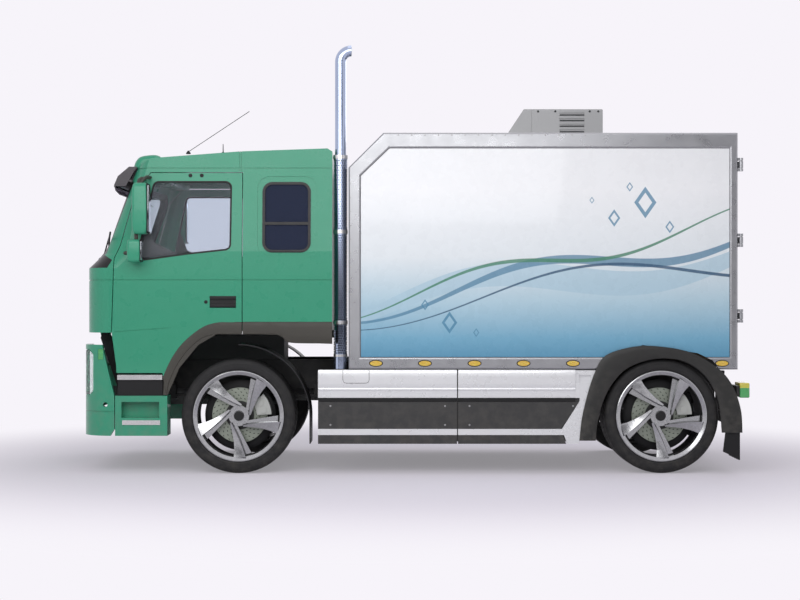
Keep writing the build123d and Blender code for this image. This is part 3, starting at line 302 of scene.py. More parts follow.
# Blue fading up to white, with generic crossing ribbons and small diamonds
panel = Shader("panel_paint")
fade = panel.new("ValToRGB")
panel_low, panel_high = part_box("side_panels")
panel.link(panel.remap(panel.z, panel_low.z, panel_high.z, 0.0, 1.0), fade.inputs[0])
fade.color_ramp.elements[0].color = srgb(98, 156, 188)
fade.color_ramp.elements[1].color = srgb(243, 245, 247)
for stop, shade in ((0.09, srgb(124, 178, 206)), (0.27, srgb(186, 214, 228)), (0.48, srgb(232, 239, 243)),
                    (0.8, srgb(247, 249, 251))):
    fade.color_ramp.elements.new(stop).color = shade
along = panel.minus(panel.x, (panel_low.x + panel_high.x) / 2)


def ribbon(base, slope, swing, wave, phase, width):
    """A band along the panel that rises, swings and swells."""
    angle = panel.math("MULTIPLY_ADD", along, wave, phase)
    line = panel.math("MULTIPLY_ADD", panel.math("SINE", angle), swing, base)
    line = panel.math("MULTIPLY_ADD", along, slope, line)
    pulse = panel.math("COSINE", panel.times(angle, 0.6))
    swell = panel.math("MULTIPLY_ADD", pulse, width * 0.55, width)
    gap = panel.math("ABSOLUTE", panel.minus(panel.z, line))
    return panel.below(panel.minus(gap, swell), 0.0, 0.0025)


paint = fade.outputs[0]
for shade, strength, shape in (
    (srgb(178, 208, 224), 0.75, (1.72, -0.16, 0.15, 1.9, 0.4, 0.075)),
    (srgb(92, 140, 170), 0.85, (1.80, -0.20, 0.12, 2.3, 1.3, 0.026)),
    (srgb(58, 92, 122), 0.9, (1.66, -0.13, 0.16, 1.7, 2.2, 0.009)),
    (srgb(74, 138, 110), 0.9, (1.90, -0.24, 0.10, 2.6, 0.2, 0.011)),
):
    mask = ribbon(*shape)
    paint = panel.mix(panel.times(mask, strength), paint, shade)
diamonds = None
for dx, z, size in ((-0.9, 2.44, 0.10), (-0.62, 2.30, 0.055), (-1.12, 2.22, 0.04), (-0.76, 2.58, 0.03),
                    (0.86, 1.36, 0.07), (1.08, 1.52, 0.035), (0.62, 1.27, 0.028), (-0.42, 2.46, 0.022)):
    across = panel.math("ABSOLUTE", panel.minus(along, dx))
    upward = panel.math("ABSOLUTE", panel.minus(panel.z, z))
    spread = panel.math("ADD", across, panel.times(upward, 0.7))
    edge = panel.both(panel.below(spread, size, 0.002), panel.above(spread, size * 0.62, 0.002))
    diamonds = edge if diamonds is None else panel.either(diamonds, edge)
paint = panel.mix(panel.times(diamonds, 0.85), paint, srgb(84, 140, 172))
panel_paint = finish(panel, paint, 0.28, coat=0.4, relief=0.00003, mottle=0.012)

# Amber lenses along the sill, green at the corners, as in the photograph
lens = Shader("lamp_lens")
corner = lens.above(lens.x, front_hub.x + 1.0)
tail = lens.below(lens.x, rear_hub.x - 0.69)
tail_top = lens.above(lens.z, 0.772)
green_lens = srgb(70, 176, 96)
lens_colour = lens.mix(lens.either(corner, tail), srgb(240, 196, 70), green_lens)
lens_colour = lens.mix(lens.both(tail, tail_top), lens_colour, srgb(222, 212, 84))
lens.set(Base_Color=lens_colour, Roughness=0.18, Coat_Weight=0.6, Coat_Roughness=0.05,
         Subsurface_Weight=0.15)
ribs = lens.math("SINE", lens.times(lens.math("ADD", lens.x, lens.z), 700.0))
lens.bump(ribs, 0.0008)
lens_finish = lens.material


def wheel_finish(node):
    """Bright blades and lip, dark back blades, hub pocket, cap and barrel."""
    low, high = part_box(node)
    hub = (low + high) / 2
    shader = Shader(node)
    lip_width = 0.004
    blade_depth = 0.064
    lip_depth = 0.05
    cap_radius = 0.047
    barrel_radius = 0.352
    out = shader.times(shader.y, 1.0 if hub.y > 0 else -1.0)
    face = max(abs(low.y), abs(high.y)) - lip_width
    radius = shader.radius(hub.x, hub.z)
    deep = shader.below(out, face - blade_depth, 0.0015)
    cap = shader.below(radius, cap_radius)
    barrel = shader.both(shader.above(radius, barrel_radius), shader.below(out, face - lip_depth, 0.004))
    dark = shader.either(shader.either(deep, cap), barrel)
    brushed = shader.noise(60, 2.0, (1, 0.2, 1))
    alloy = shader.mix(brushed, srgb(150, 151, 152), srgb(184, 185, 186))
    shader.set(
        Base_Color=shader.mix(dark, alloy, srgb(20, 20, 21)),
        Metallic=shader.remap(dark, 0.0, 1.0, 0.95, 0.3),
        Roughness=shader.remap(dark, 0.0, 1.0, 0.2, 0.42),
    )
    shader.bump(brushed, 0.00004)
    return shader.material


def disc_finish(name, node):
    """Brake steel, greenish grey, with dark holes painted in slanting rows."""
    hub = centre(node)
    shader = Shader(name)
    radius = shader.radius(hub.x, hub.z)
    upward = shader.minus(shader.z, hub.z)
    forward = shader.minus(shader.x, hub.x)
    angle = shader.math("ARCTAN2", upward, forward)
    rows = 26
    step = 0.028
    hole_radius = 0.0055
    holes_from = 0.145
    hat_radius = 0.13
    turn = shader.math("MULTIPLY_ADD", angle, rows / tau, shader.times(radius, 0.5 / step))
    side = shader.minus(shader.math("FRACT", turn), 0.5)
    side = shader.times(side, shader.times(radius, tau / rows))
    inward = shader.minus(shader.math("FRACT", shader.math("DIVIDE", radius, step)), 0.5)
    inward = shader.times(inward, step)
    gap = shader.math("SQRT", shader.math("ADD", shader.both(side, side), shader.both(inward, inward)))
    holes = shader.both(shader.below(gap, hole_radius), shader.above(radius, holes_from))
    hat = shader.below(radius, hat_radius)
    rings = shader.noise(260, 2.0)
    steel = shader.mix(rings, srgb(132, 140, 128), srgb(160, 166, 154))
    steel = shader.mix(hat, steel, srgb(56, 57, 56))
    shader.set(
        Base_Color=shader.mix(holes, steel, srgb(24, 24, 24)),
        Metallic=0.6,
        Roughness=shader.remap(rings, 0.3, 0.7, 0.32, 0.45),
    )
    return shader.material


def caliper_finish(node, hub):
    """Cast iron, with the brake caliper behind the disc's edge in silver."""
    shader = Shader(node)
    radius = shader.radius(hub.x, hub.z)
    outside = shader.above(shader.math("ABSOLUTE", shader.y), abs(hub.y) - 0.045)
    rearward = shader.both(shader.above(radius, 0.154), shader.below(shader.x, hub.x - 0.1))
    colour = shader.mix(shader.both(rearward, outside), srgb(70, 71, 72), srgb(186, 188, 184))
    return finish(shader, colour, 0.42, grain=150, relief=0.0006)


rubber = surface("tyre_rubber", srgb(36, 36, 37), 0.62, grain=250, relief=0.0004, mottle=0.1, dust=0.12)

finishes = {
    "cab_green": green_paint,
    "panel_print": panel_paint,
    "body_silver": body_metal,
    "skirt_silver": silver_paint,
    "skirt_grey": grey_paint,
    "fender_grey": fender_plastic,
    "trim_dark": dark_trim,
    "black_plastic": black_plastic,
    "interior": interior_cloth,
    "frame_black": frame_black,
    "cast_grey": cast_grey,
    "caliper_silver": cast_grey,
    "disc_steel": polished,
    "rim_alloy": polished,
    "tyre_rubber": rubber,
    "chrome": chrome,
    "tinted_glass": side_glass,
    "clear_glass": lamp_glass,
    "lamp": lens_finish,
    "floor_grey": deck_wood,
    "white_plastic": white_plastic,
}
visor_smoke = surface("visor_smoke", srgb(58, 53, 60), 0.35, coat=0.2, grain=600, relief=0.0004, mottle=0.1)
pipe = Shader("exhaust_pipe")
shield_low, shield_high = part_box("heat_shield")
# Painted shade: where it runs inside the heat shield, the chrome pipe is painted a dark blue-grey for the
# shade there
behind = pipe.both(pipe.above(pipe.z, shield_low.z), pipe.below(pipe.z, shield_high.z))
pipe_colour_with_painted_shade = pipe.mix(behind, chrome_tone, srgb(38, 36, 48))
pipe_finish = finish(pipe, pipe_colour_with_painted_shade, 0.12, metallic=0.95, grain=100, relief=0.00003, mottle=0.03)
special = {
    "roof_visor": visor_smoke,
    "exhaust_stack": pipe_finish,
    "window_frames": surround_finish,
    "cab_glass": navy_glass.material,
    "front_bumper": low_green,
    "step_boxes": low_green,
    "door_trim_left": trim_finish,
    "door_trim_right": trim_finish,
    "step_treads": polished,
}
for axle, _ in both_axles:
    for side, _ in both_sides:
        special[f"rim_{axle}_{side}"] = wheel_finish(f"rim_{axle}_{side}")
        special[f"brake_disc_{axle}_{side}"] = disc_finish(f"disc_{axle}_{side}", f"brake_disc_{axle}_{side}")
for side, _ in both_sides:
    special[f"knuckle_{side}"] = caliper_finish(f"knuckle_{side}", front_hub)
special["rear_axle"] = caliper_finish("rear_axle", rear_hub)
for part in frame["record"]["subparts"]:
    node = nodes[part["node"]]
    node.data.materials.clear()
    node.data.materials.append(special.get(part["node"], finishes[part["material_slot"]]))


# Pieces


def placed(name, data):
    """A new object in the scene."""
    shape = bpy.data.objects.new(name, data)
    bpy.context.scene.collection.objects.link(shape)
    return shape


def piece(name, build, material, body, slot, sharp=35):
    """A mesh object from a bmesh, smooth but for its sharp edges."""
    build.normal_update()
    for edge in build.edges:
        edge.smooth = len(edge.link_faces) == 2 and edge.calc_face_angle(0) < radians(sharp)
    for face in build.faces:
        face.smooth = True
    mesh = bpy.data.meshes.new(name)
    build.to_mesh(mesh)
    build.free()
    shape = placed(name, mesh)
    mesh.materials.append(material)
    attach(shape, body)
    return shape


def mirrored(build):
    """The same mesh on the truck's right side, joined to it."""
    copy = bmesh.ops.duplicate(build, geom=build.verts[:] + build.edges[:] + build.faces[:])
    verts = [part for part in copy["geom"] if isinstance(part, bmesh.types.BMVert)]
    faces = [part for part in copy["geom"] if isinstance(part, bmesh.types.BMFace)]
    bmesh.ops.scale(build, vec=(1, -1, 1), verts=verts)
    bmesh.ops.reverse_faces(build, faces=faces)


def solid(name, build, *rest):
    """A piece whose faces are first turned outwards."""
    bmesh.ops.recalc_face_normals(build, faces=build.faces)
    return piece(name, build, *rest)


def joined(build, rows, closed=True):
    """Faces between neighbouring rows of vertices, which are rings if closed."""
    for first, second in zip(rows, rows[1:]):
        count = len(first)
        for k in range(count if closed else count - 1):
            after = (k + 1) % count
            build.faces.new((first[k], first[after], second[after], second[k]))


def capped(build, rings):
    """Rings of vertices joined, with both ends closed."""
    joined(build, rings)
    build.faces.new(rings[0][::-1])
    build.faces.new(rings[-1])


def spanned(first, second):
    """The low and the high corner of the box between two points."""
    return [Vector(pick(pair) for pair in zip(first, second)) for pick in (min, max)]


def add_slab(build, points, inner_y, outer_y):
    """A flat plate through (x, z) points, between two places across the truck."""
    inner, outer = [[build.verts.new(at(x, y, z)) for x, z in points] for y in (inner_y, outer_y)]
    build.faces.new(inner)
    build.faces.new(outer[::-1])
    joined(build, [inner, outer])


def add_box(build, low, high, bevel=0.0, segments=2):
    """A box with its edges rounded, into a bmesh."""
    low, high = Vector(low), Vector(high)
    made = bmesh.ops.create_cube(build, size=1)
    bmesh.ops.scale(build, vec=high - low, verts=made["verts"])
    bmesh.ops.translate(build, vec=(low + high) / 2, verts=made["verts"])
    if bevel:
        edges = dict.fromkeys(edge for vert in made["verts"] for edge in vert.link_edges)
        bmesh.ops.bevel(build, geom=list(edges), offset=bevel, segments=segments, affect="EDGES", profile=0.5)


def turned(build, profile, place, axis, segments=24):
    """A profile of (radius, height) pairs turned about an axis, into a bmesh."""
    spin = Vector(axis).normalized().to_track_quat("Z", "Y").to_matrix()
    rings = []
    for radius, height in profile:
        if radius < 1e-6:
            rings.append([build.verts.new(place + spin @ Vector((0, 0, height)))])
            continue
        row = []
        for number in range(segments):
            angle = tau * number / segments
            point = Vector((radius * cos(angle), radius * sin(angle), height))
            row.append(build.verts.new(place + spin @ point))
        rings.append(row)
    for first, second in zip(rings, rings[1:]):
        for number in range(segments):
            after = (number + 1) % segments
            if len(first) == 1 and len(second) > 1:
                build.faces.new((first[0], second[number], second[after]))
            elif len(second) == 1 and len(first) > 1:
                build.faces.new((first[number], first[after], second[0]))
            elif len(first) > 1:
                build.faces.new((first[number], first[after], second[after], second[number]))


def add_bolt(build, place, axis, radius=0.009, height=0.006):
    """A domed screw head with a washer."""
    profile = [(0, 0), (radius * 1.5, 0), (radius * 1.5, height * 0.3), (radius, height * 0.35),
               (radius * 0.9, height * 0.8), (radius * 0.5, height), (0, height)]
    turned(build, profile, Vector(place), axis, 12)


def add_tube(build, points, radius, segments=12):
    """A round bar through points, into a bmesh."""
    points = [Vector(point) for point in points]
    rings = []
    for number, point in enumerate(points):
        before = points[max(number - 1, 0)]
        after = points[min(number + 1, len(points) - 1)]
        turn = (after - before).normalized().to_track_quat("Z", "Y")
        rings.append([build.verts.new(point + turn @ Vector((radius * cos(a), radius * sin(a), 0)))
                      for a in (tau * k / segments for k in range(segments))])
    capped(build, rings)


# Tyres: ribbed walls, four channels round and slanting cuts across


def tyre_piece(name, node, body):
    low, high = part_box(node)
    hub = (low + high) / 2
    half = (high.y - low.y) / 2
    outer = (high.z - low.z) / 2
    wall = [
        (0.392, -0.027), (0.4085, -0.026), (0.411, -0.016), (0.418, -0.006), (0.4265, -0.0025),
        (0.4275, -0.0005), (0.4325, -0.0005), (0.4335, -0.0025), (0.452, -0.001), (0.468, -0.002),
        (0.4685, -0.0008), (0.4725, -0.001), (0.473, -0.003), (0.488, -0.006), (0.4885, -0.0045),
        (0.493, -0.0065), (0.4935, -0.0085), (0.504, -0.015), (0.511, -0.024), (0.514, -0.034),
    ]
    shoulder = 0.042
    crown = 0.003
    reach = half - shoulder
    columns = 30
    profile = [(radius, half + inset, False) for radius, inset in wall]
    for number in range(columns + 1):
        y = reach - 2 * reach * number / columns
        profile.append((outer - crown * (y / half) ** 2, y, True))
    profile += [(radius, -half - inset, False) for radius, inset in reversed(wall)]
    pitches = 64
    per_pitch = 4
    segments = pitches * per_pitch
    channels = (0.22, 0.62)
    channel_reach = 0.045
    channel_depth = 0.007
    cuts_from = 0.26
    cut_depth = 0.005
    build = bmesh.new()
    rings = []
    for radius, y, tread in profile:
        row = []
        share = abs(y) / reach
        for number in range(segments):
            depth = 0.0
            if tread:
                slant = number + round(share * 3)
                if any(abs(share - channel) < channel_reach for channel in channels):
                    depth = channel_depth
                elif slant % per_pitch == 0 and share > cuts_from:
                    depth = cut_depth
            angle = tau * number / segments
            size = radius - depth
            x = hub.x + size * cos(angle)
            z = hub.z + size * sin(angle)
            row.append(build.verts.new((x, hub.y + y, z)))
        rings.append(row)
    joined(build, rings)
    shape = solid(name, build, rubber, body, "tyre_rubber", 28)
    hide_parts(node)


for axle, _ in both_axles:
    for side, _ in both_sides:
        tyre_piece(f"tread_{axle}_{side}", f"tyre_{axle}_{side}", f"wheel_{axle}_{side}")


# Heat shield: a sheet of round holes between its clamp bands


def shield_piece():
    low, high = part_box("heat_shield")
    axis = (low + high) / 2
    sheet = 0.004
    radius = (high.x - low.x) / 2 - sheet
    around = 18
    cell = tau * radius / around
    rows = round((high.z - low.z) / cell)
    tall = (high.z - low.z) / rows
    hole = 0.34
    sides = 8
    build = bmesh.new()
    made = {}

    def corner(u, v):
        key = (round(u * 1000) % (around * 1000), round(v * 1000))
        if key not in made:
            angle = tau * u / around
            made[key] = build.verts.new((axis.x + radius * cos(angle), axis.y + radius * sin(angle),
                                         low.z + v * tall))
        return made[key]

    for row in range(rows):
        for column in range(around):
            shift = 0.5 * (row % 2)
            left, bottom = column + shift, row
            rim = []
            frame_points = []
            for k in range(sides):
                angle = tau * (k + 0.5) / sides
                rim.append(corner(left + 0.5 + hole * cos(angle), bottom + 0.5 + hole * sin(angle)))
            outline = ((1, 0.5), (1, 1), (0.5, 1), (0, 1), (0, 0.5), (0, 0), (0.5, 0), (1, 0))
            for du, dv in outline:
                frame_points.append(corner(left + du, bottom + dv))
            for k in range(sides):
                build.faces.new((frame_points[k], frame_points[(k + 1) % sides], rim[k], rim[k - 1]))
    shape = piece("shield_mesh", build, chrome, "chassis", "chrome")
    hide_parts("heat_shield")
    bands = bmesh.new()
    band = [(radius, 0), (radius + sheet, 0.001), (radius + sheet, 0.033), (radius, 0.034)]
    for z in (axis.z - 0.62, axis.z + 0.2, high.z - 0.036):
        turned(bands, band, Vector((axis.x, axis.y, z)), (0, 0, 1), 48)
        add_box(bands, (axis.x + radius - sheet, axis.y - 0.012, z + 0.006),
                (axis.x + radius + sheet, axis.y + 0.012, z + 0.028), 0.002)
    foot = [(radius - 0.002, -0.0005), (radius + 0.0015, 0), (radius + 0.0015, 0.02), (radius - 0.002, 0.021)]
    turned(bands, foot, Vector((axis.x, axis.y, low.z)), (0, 0, 1), 48)
    piece("shield_bands", bands, polished, "chassis", "chrome")


shield_piece()

# Seats: crowned cushions with bolsters, piping and head rests


def cushion(name, low, high, crown, body="cab"):
    """A padded block whose faces swell and whose edges draw in."""
    low, high = Vector(low), Vector(high)
    middle = (low + high) / 2
    half = (high - low) / 2
    build = bmesh.new()
    made = bmesh.ops.create_cube(build, size=2)
    bmesh.ops.subdivide_edges(build, edges=build.edges[:], cuts=9, use_grid_fill=True)
    for vert in build.verts:
        u, v, w = vert.co
        # Rounded corners first, then a swell that fades towards the edges
        a, b, c = (abs(part) ** 6 for part in (u, v, w))
        round_off = 1 - 0.16 * (a * b + b * c + a * c)
        swell = 1 - crown + crown * (1 - max(abs(u), abs(v)) ** 4) if abs(w) > 0.99 else 1
        bolster = 1 + 0.10 * exp(-((abs(v) - 0.78) / 0.12) ** 2) if w > 0.99 else 1
        channel = 0.985 if abs(abs(v) - 0.6) < 0.06 else 1
        vert.co = middle + Vector((u * half.x * round_off, v * half.y * round_off,
                                   w * half.z * swell * round_off * bolster * channel / 1.1))
    shape = piece(name, build, seat_cloth, body, "interior", sharp=80)
    smooth = shape.modifiers.new("smooth", "SUBSURF")
    smooth.levels = 1
    smooth.render_levels = 1
    return shape


for side, y in (("left", 560), ("right", -560)):
    cushion(f"seat_cushion_{side}", at(-110, y - 250, 1600), at(425, y + 250, 1760), 0.25)
    back = cushion(f"seat_back_{side}", at(-300, y - 240, 1740), at(-130, y + 240, 2330), 0.2)
    cushion(f"head_rest_{side}", at(-300, y - 125, 2340), at(-195, y + 125, 2520), 0.2)
    base = bmesh.new()
    add_box(base, at(-70, y - 190, 1345), at(350, y + 190, 1590), 0.02)
    add_box(base, at(-120, y + 245, 1640), at(220, y + 262, 1720), 0.007)
    for dy in (-60, 60):
        add_tube(base, [at(-250, y + dy, 2290), at(-250, y + dy, 2400)], 0.007)
    piece(f"seat_base_{side}", base, seat_piping, "cab", "interior")
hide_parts("seats")

# Mirror glass and rims, and the doors' screws, lock barrels and dark corners

for side, sign in both_sides:
    for label, material, slot, bevel, boxes in (
        ("glass", mirror_face, "chrome", 0.0015,
         ((777, 1318, 2172, 781, 1462, 2582), (843, 1316, 1918, 847, 1444, 2084))),
        ("rim", black_plastic, "black_plastic", 0.004,
         ((781, 1304, 2156, 792, 1476, 2598), (846, 1303, 1903, 855, 1457, 2099))),
    ):
        build = bmesh.new()
        for x, y, z, end_x, end_y, end_z in boxes:
            add_box(build, at(x, y * sign, z), at(end_x, end_y * sign, end_z), bevel)
        solid(f"mirror_{label}_{side}", build, material, f"door_{side}", slot)
    # Two cap screws over the window
    build = bmesh.new()
    screw_z = 2686
    door_y = 1240 - (screw_z - 2000) * 75 / 953
    for x in (436, 333):
        add_bolt(build, at(x, sign * door_y, screw_z), (0, sign, 0.08), 0.012, 0.005)
    # Lock barrel beside the handle
    add_bolt(build, at(290, sign * 1240, 1545), (0, sign, 0), 0.011, 0.004)
    piece(f"door_screws_{side}", build, black_plastic, f"door_{side}", "black_plastic")
    # The quarter light's dark corner behind the window glass
    build = bmesh.new()
    add_slab(build, [(905, 1935), (540, 1975), (760, 2080), (845, 2290)], sign * 1196, sign * 1206)
    solid(f"door_corner_{side}", build, dark_trim, f"door_{side}", "trim_dark")

# Aerials on the roof

build = bmesh.new()
base = at(477, 1000, 2896)
turned(build, [(0.022, 0), (0.022, 0.008), (0.012, 0.022), (0.006, 0.03), (0, 0.032)], base, (0, 0, 1), 16)
rod = [base + Vector((0, 0, 0.02)), base + Vector((-0.03, 0, 0.04)), at(-80, 1000, 3285)]
add_tube(build, rod, 0.0028, 8)
stub = at(160, 1000, 2901)
turned(build, [(0.014, 0), (0.014, 0.008), (0.005, 0.014), (0.003, 0.085), (0, 0.087)], stub, (0, 0, 1), 12)
piece("aerials", build, black_plastic, "cab", "black_plastic")

# Wipers parked along the foot of the windscreen


def screen_front(y, z):
    """Where the cab's skin stands ahead of the axle, at a place on the windscreen."""
    nose = 1440 - (min(z, screen_foot) - 1851) * 1.05
    nose -= max(0, z - screen_foot) * screen_lean
    return nose - y * y / front_bow


build = bmesh.new()
for foot in (-820, -80, 660):
    # The arm, then the blade
    for start, reach, low, rise, gap, radius in (
        (foot, 300, 1930, 250, 22, 0.007),
        (foot - 30, 640, 2040, 130, 6, 0.009),
    ):
        points = []
        for t in (0.0, 0.25, 0.5, 0.75, 1.0):
            y = start + reach * t
            z = low + rise * t
            points.append(at(screen_front(y, z) + gap, y, z))
        add_tube(build, points, radius, 8)
    pivot = at(screen_front(foot, 1930) - 4, foot, 1930)
    turned(build, [(0.02, 0), (0.02, 0.02), (0.012, 0.03), (0, 0.03)], pivot, (1, 0, 1), 16)
piece("wipers", build, black_plastic, "cab", "black_plastic")

# Clear lip of the sun visor

build = bmesh.new()
lip = [(1146, 2600), (1138, 2560), (1100, 2520), (1094, 2522), (1130, 2562), (1136, 2600)]
capped(build, [[build.verts.new(at(x, y, z)) for x, z in lip] for y in (-1040, 1040)])
solid("visor_lip", build, smoked_lip.material, "cab", "tinted_glass")

# Head lamp bowls behind their clear covers

for side, sign in both_sides:
    build = bmesh.new()
    for z, size in ((1000, 0.085), (815, 0.075)):
        place = at(1352, sign * 900, z)
        axis = (1, sign * 0.12, 0)
        bowl = [(0.018, -0.07), (size * 0.55, -0.055), (size * 0.85, -0.03), (size, 0.0),
                (size + 0.006, 0.002)]
        turned(build, bowl, place, axis, 32)
        turned(build, [(0.02, -0.07), (0.02, -0.04), (0.012, -0.028), (0, -0.025)], place, axis, 16)
    piece(f"lamp_bowls_{side}", build, chrome, "chassis", "chrome")
    build = bmesh.new()
    add_box(build, at(1270, sign * 800, 712), at(1278, sign * 1150, 1104), 0.003)
    solid(f"lamp_back_{side}", build, black_plastic, "chassis", "black_plastic")

# Raised studs on the treads

build = bmesh.new()
for row in range(9):
    for column in range(15):
        x = 706 + column * 26
        y = 1016 + row * 26
        turned(build, [(0.007, 0), (0.005, 0.003), (0, 0.0034)], at(x, y, 889), (0, 0, 1), 8)
for column in range(22):
    x = 712 + column * 15
    add_box(build, at(x - 4, 1243, 446), at(x + 4, 1247, 475), 0.001, 1)
    add_box(build, at(x - 4, 1235, 851), at(x + 4, 1239, 883), 0.001, 1)
mirrored(build)
piece("tread_studs", build, polished, "chassis", "skirt_silver")

# Rivets on the box's sides, and the bases of its lamps

build = bmesh.new()
for x in range(-1440, -3240, -120):
    add_bolt(build, at(x, 1250, 3045), (0, 1, 0), 0.005, 0.0025)
for z in range(1110, 2640, 125):
    add_bolt(build, at(-1010, 1250, z), (0, 1, 0), 0.005, 0.0025)
for x in range(-1130, -3200, -160):
    add_bolt(build, at(x, 1250, 1030), (0, 1, 0), 0.004, 0.002)
mirrored(build)
piece("body_rivets", build, bolt_steel, "chassis", "chrome")

build = bmesh.new()
for x in (-1239, -1679, -2125, -2565, -3009, -4348):
    rows = []
    for wide, y, tall in ((55, 1253.5, 24), (63, 1250.3, 31)):
        angles = [tau * k / 28 for k in range(28)]
        rows.append([build.verts.new(at(x + wide * cos(a), y, 994 + tall * sin(a))) for a in angles])
    joined(build, rows)
mirrored(build)
solid("lamp_bases", build, seal_rubber, "chassis", "black_plastic")

# Seals and strap bolts of the rear doors

for side, sign in both_sides:
    build = bmesh.new()
    door_low, door_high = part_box(f"rear_door_{side}")
    x = at(-4492, 0, 0).x
    seal_back = x - 0.008
    seal_face = x - 0.0055
    for z in (door_low.z + 0.012, door_high.z - 0.022):
        add_box(build, (seal_back, sign * 0.006, z), (seal_face, sign * 1.182, z + 0.01), 0.001, 1)
    add_box(build, (seal_back, sign * 0.006, door_low.z + 0.01),
            (seal_face, sign * 0.016, door_high.z - 0.01), 0.001, 1)
    solid(f"door_seal_{side}", build, seal_rubber, f"rear_door_{side}", "black_plastic")
    build = bmesh.new()
    for z in (1420, 2100, 2780):
        for y in (900, 980, 1060):
            add_bolt(build, at(-4500, sign * y, z), (-1, 0, 0), 0.008, 0.005)
    piece(f"strap_bolts_{side}", build, bolt_steel, f"rear_door_{side}", "chrome")

# Louvre blades and screws of the roof unit

build = bmesh.new()
for y in (-705, 705):
    for z in range(3124, 3320, 52):
        add_box(build, at(-3168, y - 6, z), at(-2942, y - 2, z + 10), 0.001, 1)
for x in (-3300, -3220, -2900, -2740):
    for z in (3100, 3318):
        add_bolt(build, at(x, 700, z), (0, 1, 0), 0.007, 0.003)
piece("cooler_louvres", build, louvre_dark, "chassis", "white_plastic")

# Screws of the skirts

build = bmesh.new()
for x in (-3010, -2080, -1860, -830):
    for z in (440, 610):
        add_bolt(build, at(x, 1246, z), (0, 1, 0), 0.006, 0.003)
mirrored(build)
piece("skirt_screws", build, bolt_steel, "chassis", "chrome")


# Smooth bands over the wheels, and the rear fenders


def curve_through(points, count):
    """Evenly spaced points on a smooth curve through the given ones."""
    ends = [points[0], *points, points[-1]]
    fine = []
    for a, b, c, d in zip(ends, ends[1:], ends[2:], ends[3:]):
        for k in range(12):
            t = k / 12
            fine.append(tuple(
                0.5 * (2 * q + (r - p) * t + (2 * p - 5 * q + 4 * r - w) * t * t
                       + (3 * q - p - 3 * r + w) * t ** 3)
                for p, q, r, w in zip(a, b, c, d)
            ))
    fine.append(tuple(points[-1]))
    lengths = [0.0]
    for first, second in zip(fine, fine[1:]):
        lengths.append(lengths[-1] + dist(first, second))
    spaced = []
    number = 0
    for k in range(count):
        goal = lengths[-1] * k / (count - 1)
        while number < len(lengths) - 2 and lengths[number + 1] < goal:
            number += 1
        share = (goal - lengths[number]) / max(lengths[number + 1] - lengths[number], 1e-9)
        spaced.append(tuple(p + (q - p) * share for p, q in zip(fine[number], fine[number + 1])))
    return spaced


def add_band(build, outer, inner, low_y, high_y, crown, count=48, flange=None):
    """A crowned band between two curves, with its back and, if asked, a deep outer wall."""
    outer = curve_through(outer, count)
    inner = curve_through(inner, count)
    rows = []
    for (ox, oz), (ix, iz) in zip(outer, inner):
        row = []
        if flange is not None:
            row.append(at(ox, flange, oz))
        row.append(at(ox, low_y, oz))
        for share in (0.0, 0.06, 0.3, 0.6, 0.94, 1.0):
            rise = high_y - 5 if share in (0.0, 1.0) else high_y + crown * sin(pi * share)
            row.append(at(ox + (ix - ox) * share, rise, oz + (iz - oz) * share))
        row.append(at(ix, low_y, iz))
        rows.append([build.verts.new(point) for point in row])
    joined(build, rows, closed=flange is None)


door_outer = [(679, 874), (612, 1022), (520, 1157), (408, 1262), (295, 1335), (182, 1366), (80, 1368),
              (-31, 1368)]
door_inner = [(640, 712), (622, 818), (544, 988), (430, 1134), (317, 1222), (204, 1252), (90, 1254),
              (-31, 1254)]
cab_outer = [(-40, 1368), (-300, 1368), (-560, 1368), (-843, 1367)]
cab_inner = [(-40, 1254), (-200, 1254), (-330, 1253), (-400, 1226), (-474, 1178), (-843, 1172)]
fill = [(640, 1310), (380, 1352), (200, 1380), (200, 1300), (420, 1200), (540, 1080), (640, 900), (676, 880),
        (690, 960)]
for side, sign in both_sides:
    for label, outer, inner, body in (
        ("door", door_outer, door_inner, f"door_{side}"),
        ("cab", cab_outer, cab_inner, "cab"),
    ):
        build = bmesh.new()
        add_band(build, outer, inner, sign * 1228, sign * 1241, sign * 4)
        solid(f"{label}_arch_{side}", build, dark_trim, body, "trim_dark")
    build = bmesh.new()
    add_slab(build, fill, sign * 1230, sign * 1239.5)
    solid(f"door_corner_skin_{side}", build, green_paint, f"door_{side}", "cab_green")

fender_outer = [(-3066, 300), (-3092, 517), (-3152, 761), (-3213, 932), (-3280, 1046), (-3408, 1110),
                (-3628, 1151), (-3871, 1136), (-4068, 1091), (-4213, 1017), (-4359, 907), (-4457, 761),
                (-4518, 566), (-4530, 372)]
fender_inner = [(-3213, 300), (-3226, 444), (-3274, 639), (-3360, 810), (-3482, 940), (-3652, 1015),
                (-3823, 1038), (-3994, 1015), (-4140, 932), (-4238, 822), (-4311, 663), (-4335, 500),
                (-4340, 430), (-4345, 372)]
build = bmesh.new()
add_band(build, fender_outer, fender_inner, 1252, 1268, 5, count=72, flange=1120)
mirrored(build)
fenders = solid("fender_shells", build, fender_plastic, "chassis", "fender_grey")
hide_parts("rear_fenders")

# Rounded mirror housings on their arms


def add_housing(build, low, high, power=5.0, segments=28):
    """A block with well rounded sides and ends."""
    middle = (low + high) / 2
    half = (high - low) / 2
    rows = []
    for number in range(segments // 2 + 1):
        up = -pi / 2 + pi * number / (segments // 2)
        tall = copysign(abs(sin(up)) ** (2 / power), sin(up))
        wide = max(abs(cos(up)), 1e-4) ** (2 / power)
        row = []
        for k in range(segments):
            angle = tau * k / segments
            across = copysign(abs(cos(angle)) ** (2 / power), cos(angle)) * wide
            deep = copysign(abs(sin(angle)) ** (2 / power), sin(angle)) * wide
            row.append(build.verts.new(middle + Vector((half.x * across, half.y * deep, half.z * tall))))
        rows.append(row)
    capped(build, rows)


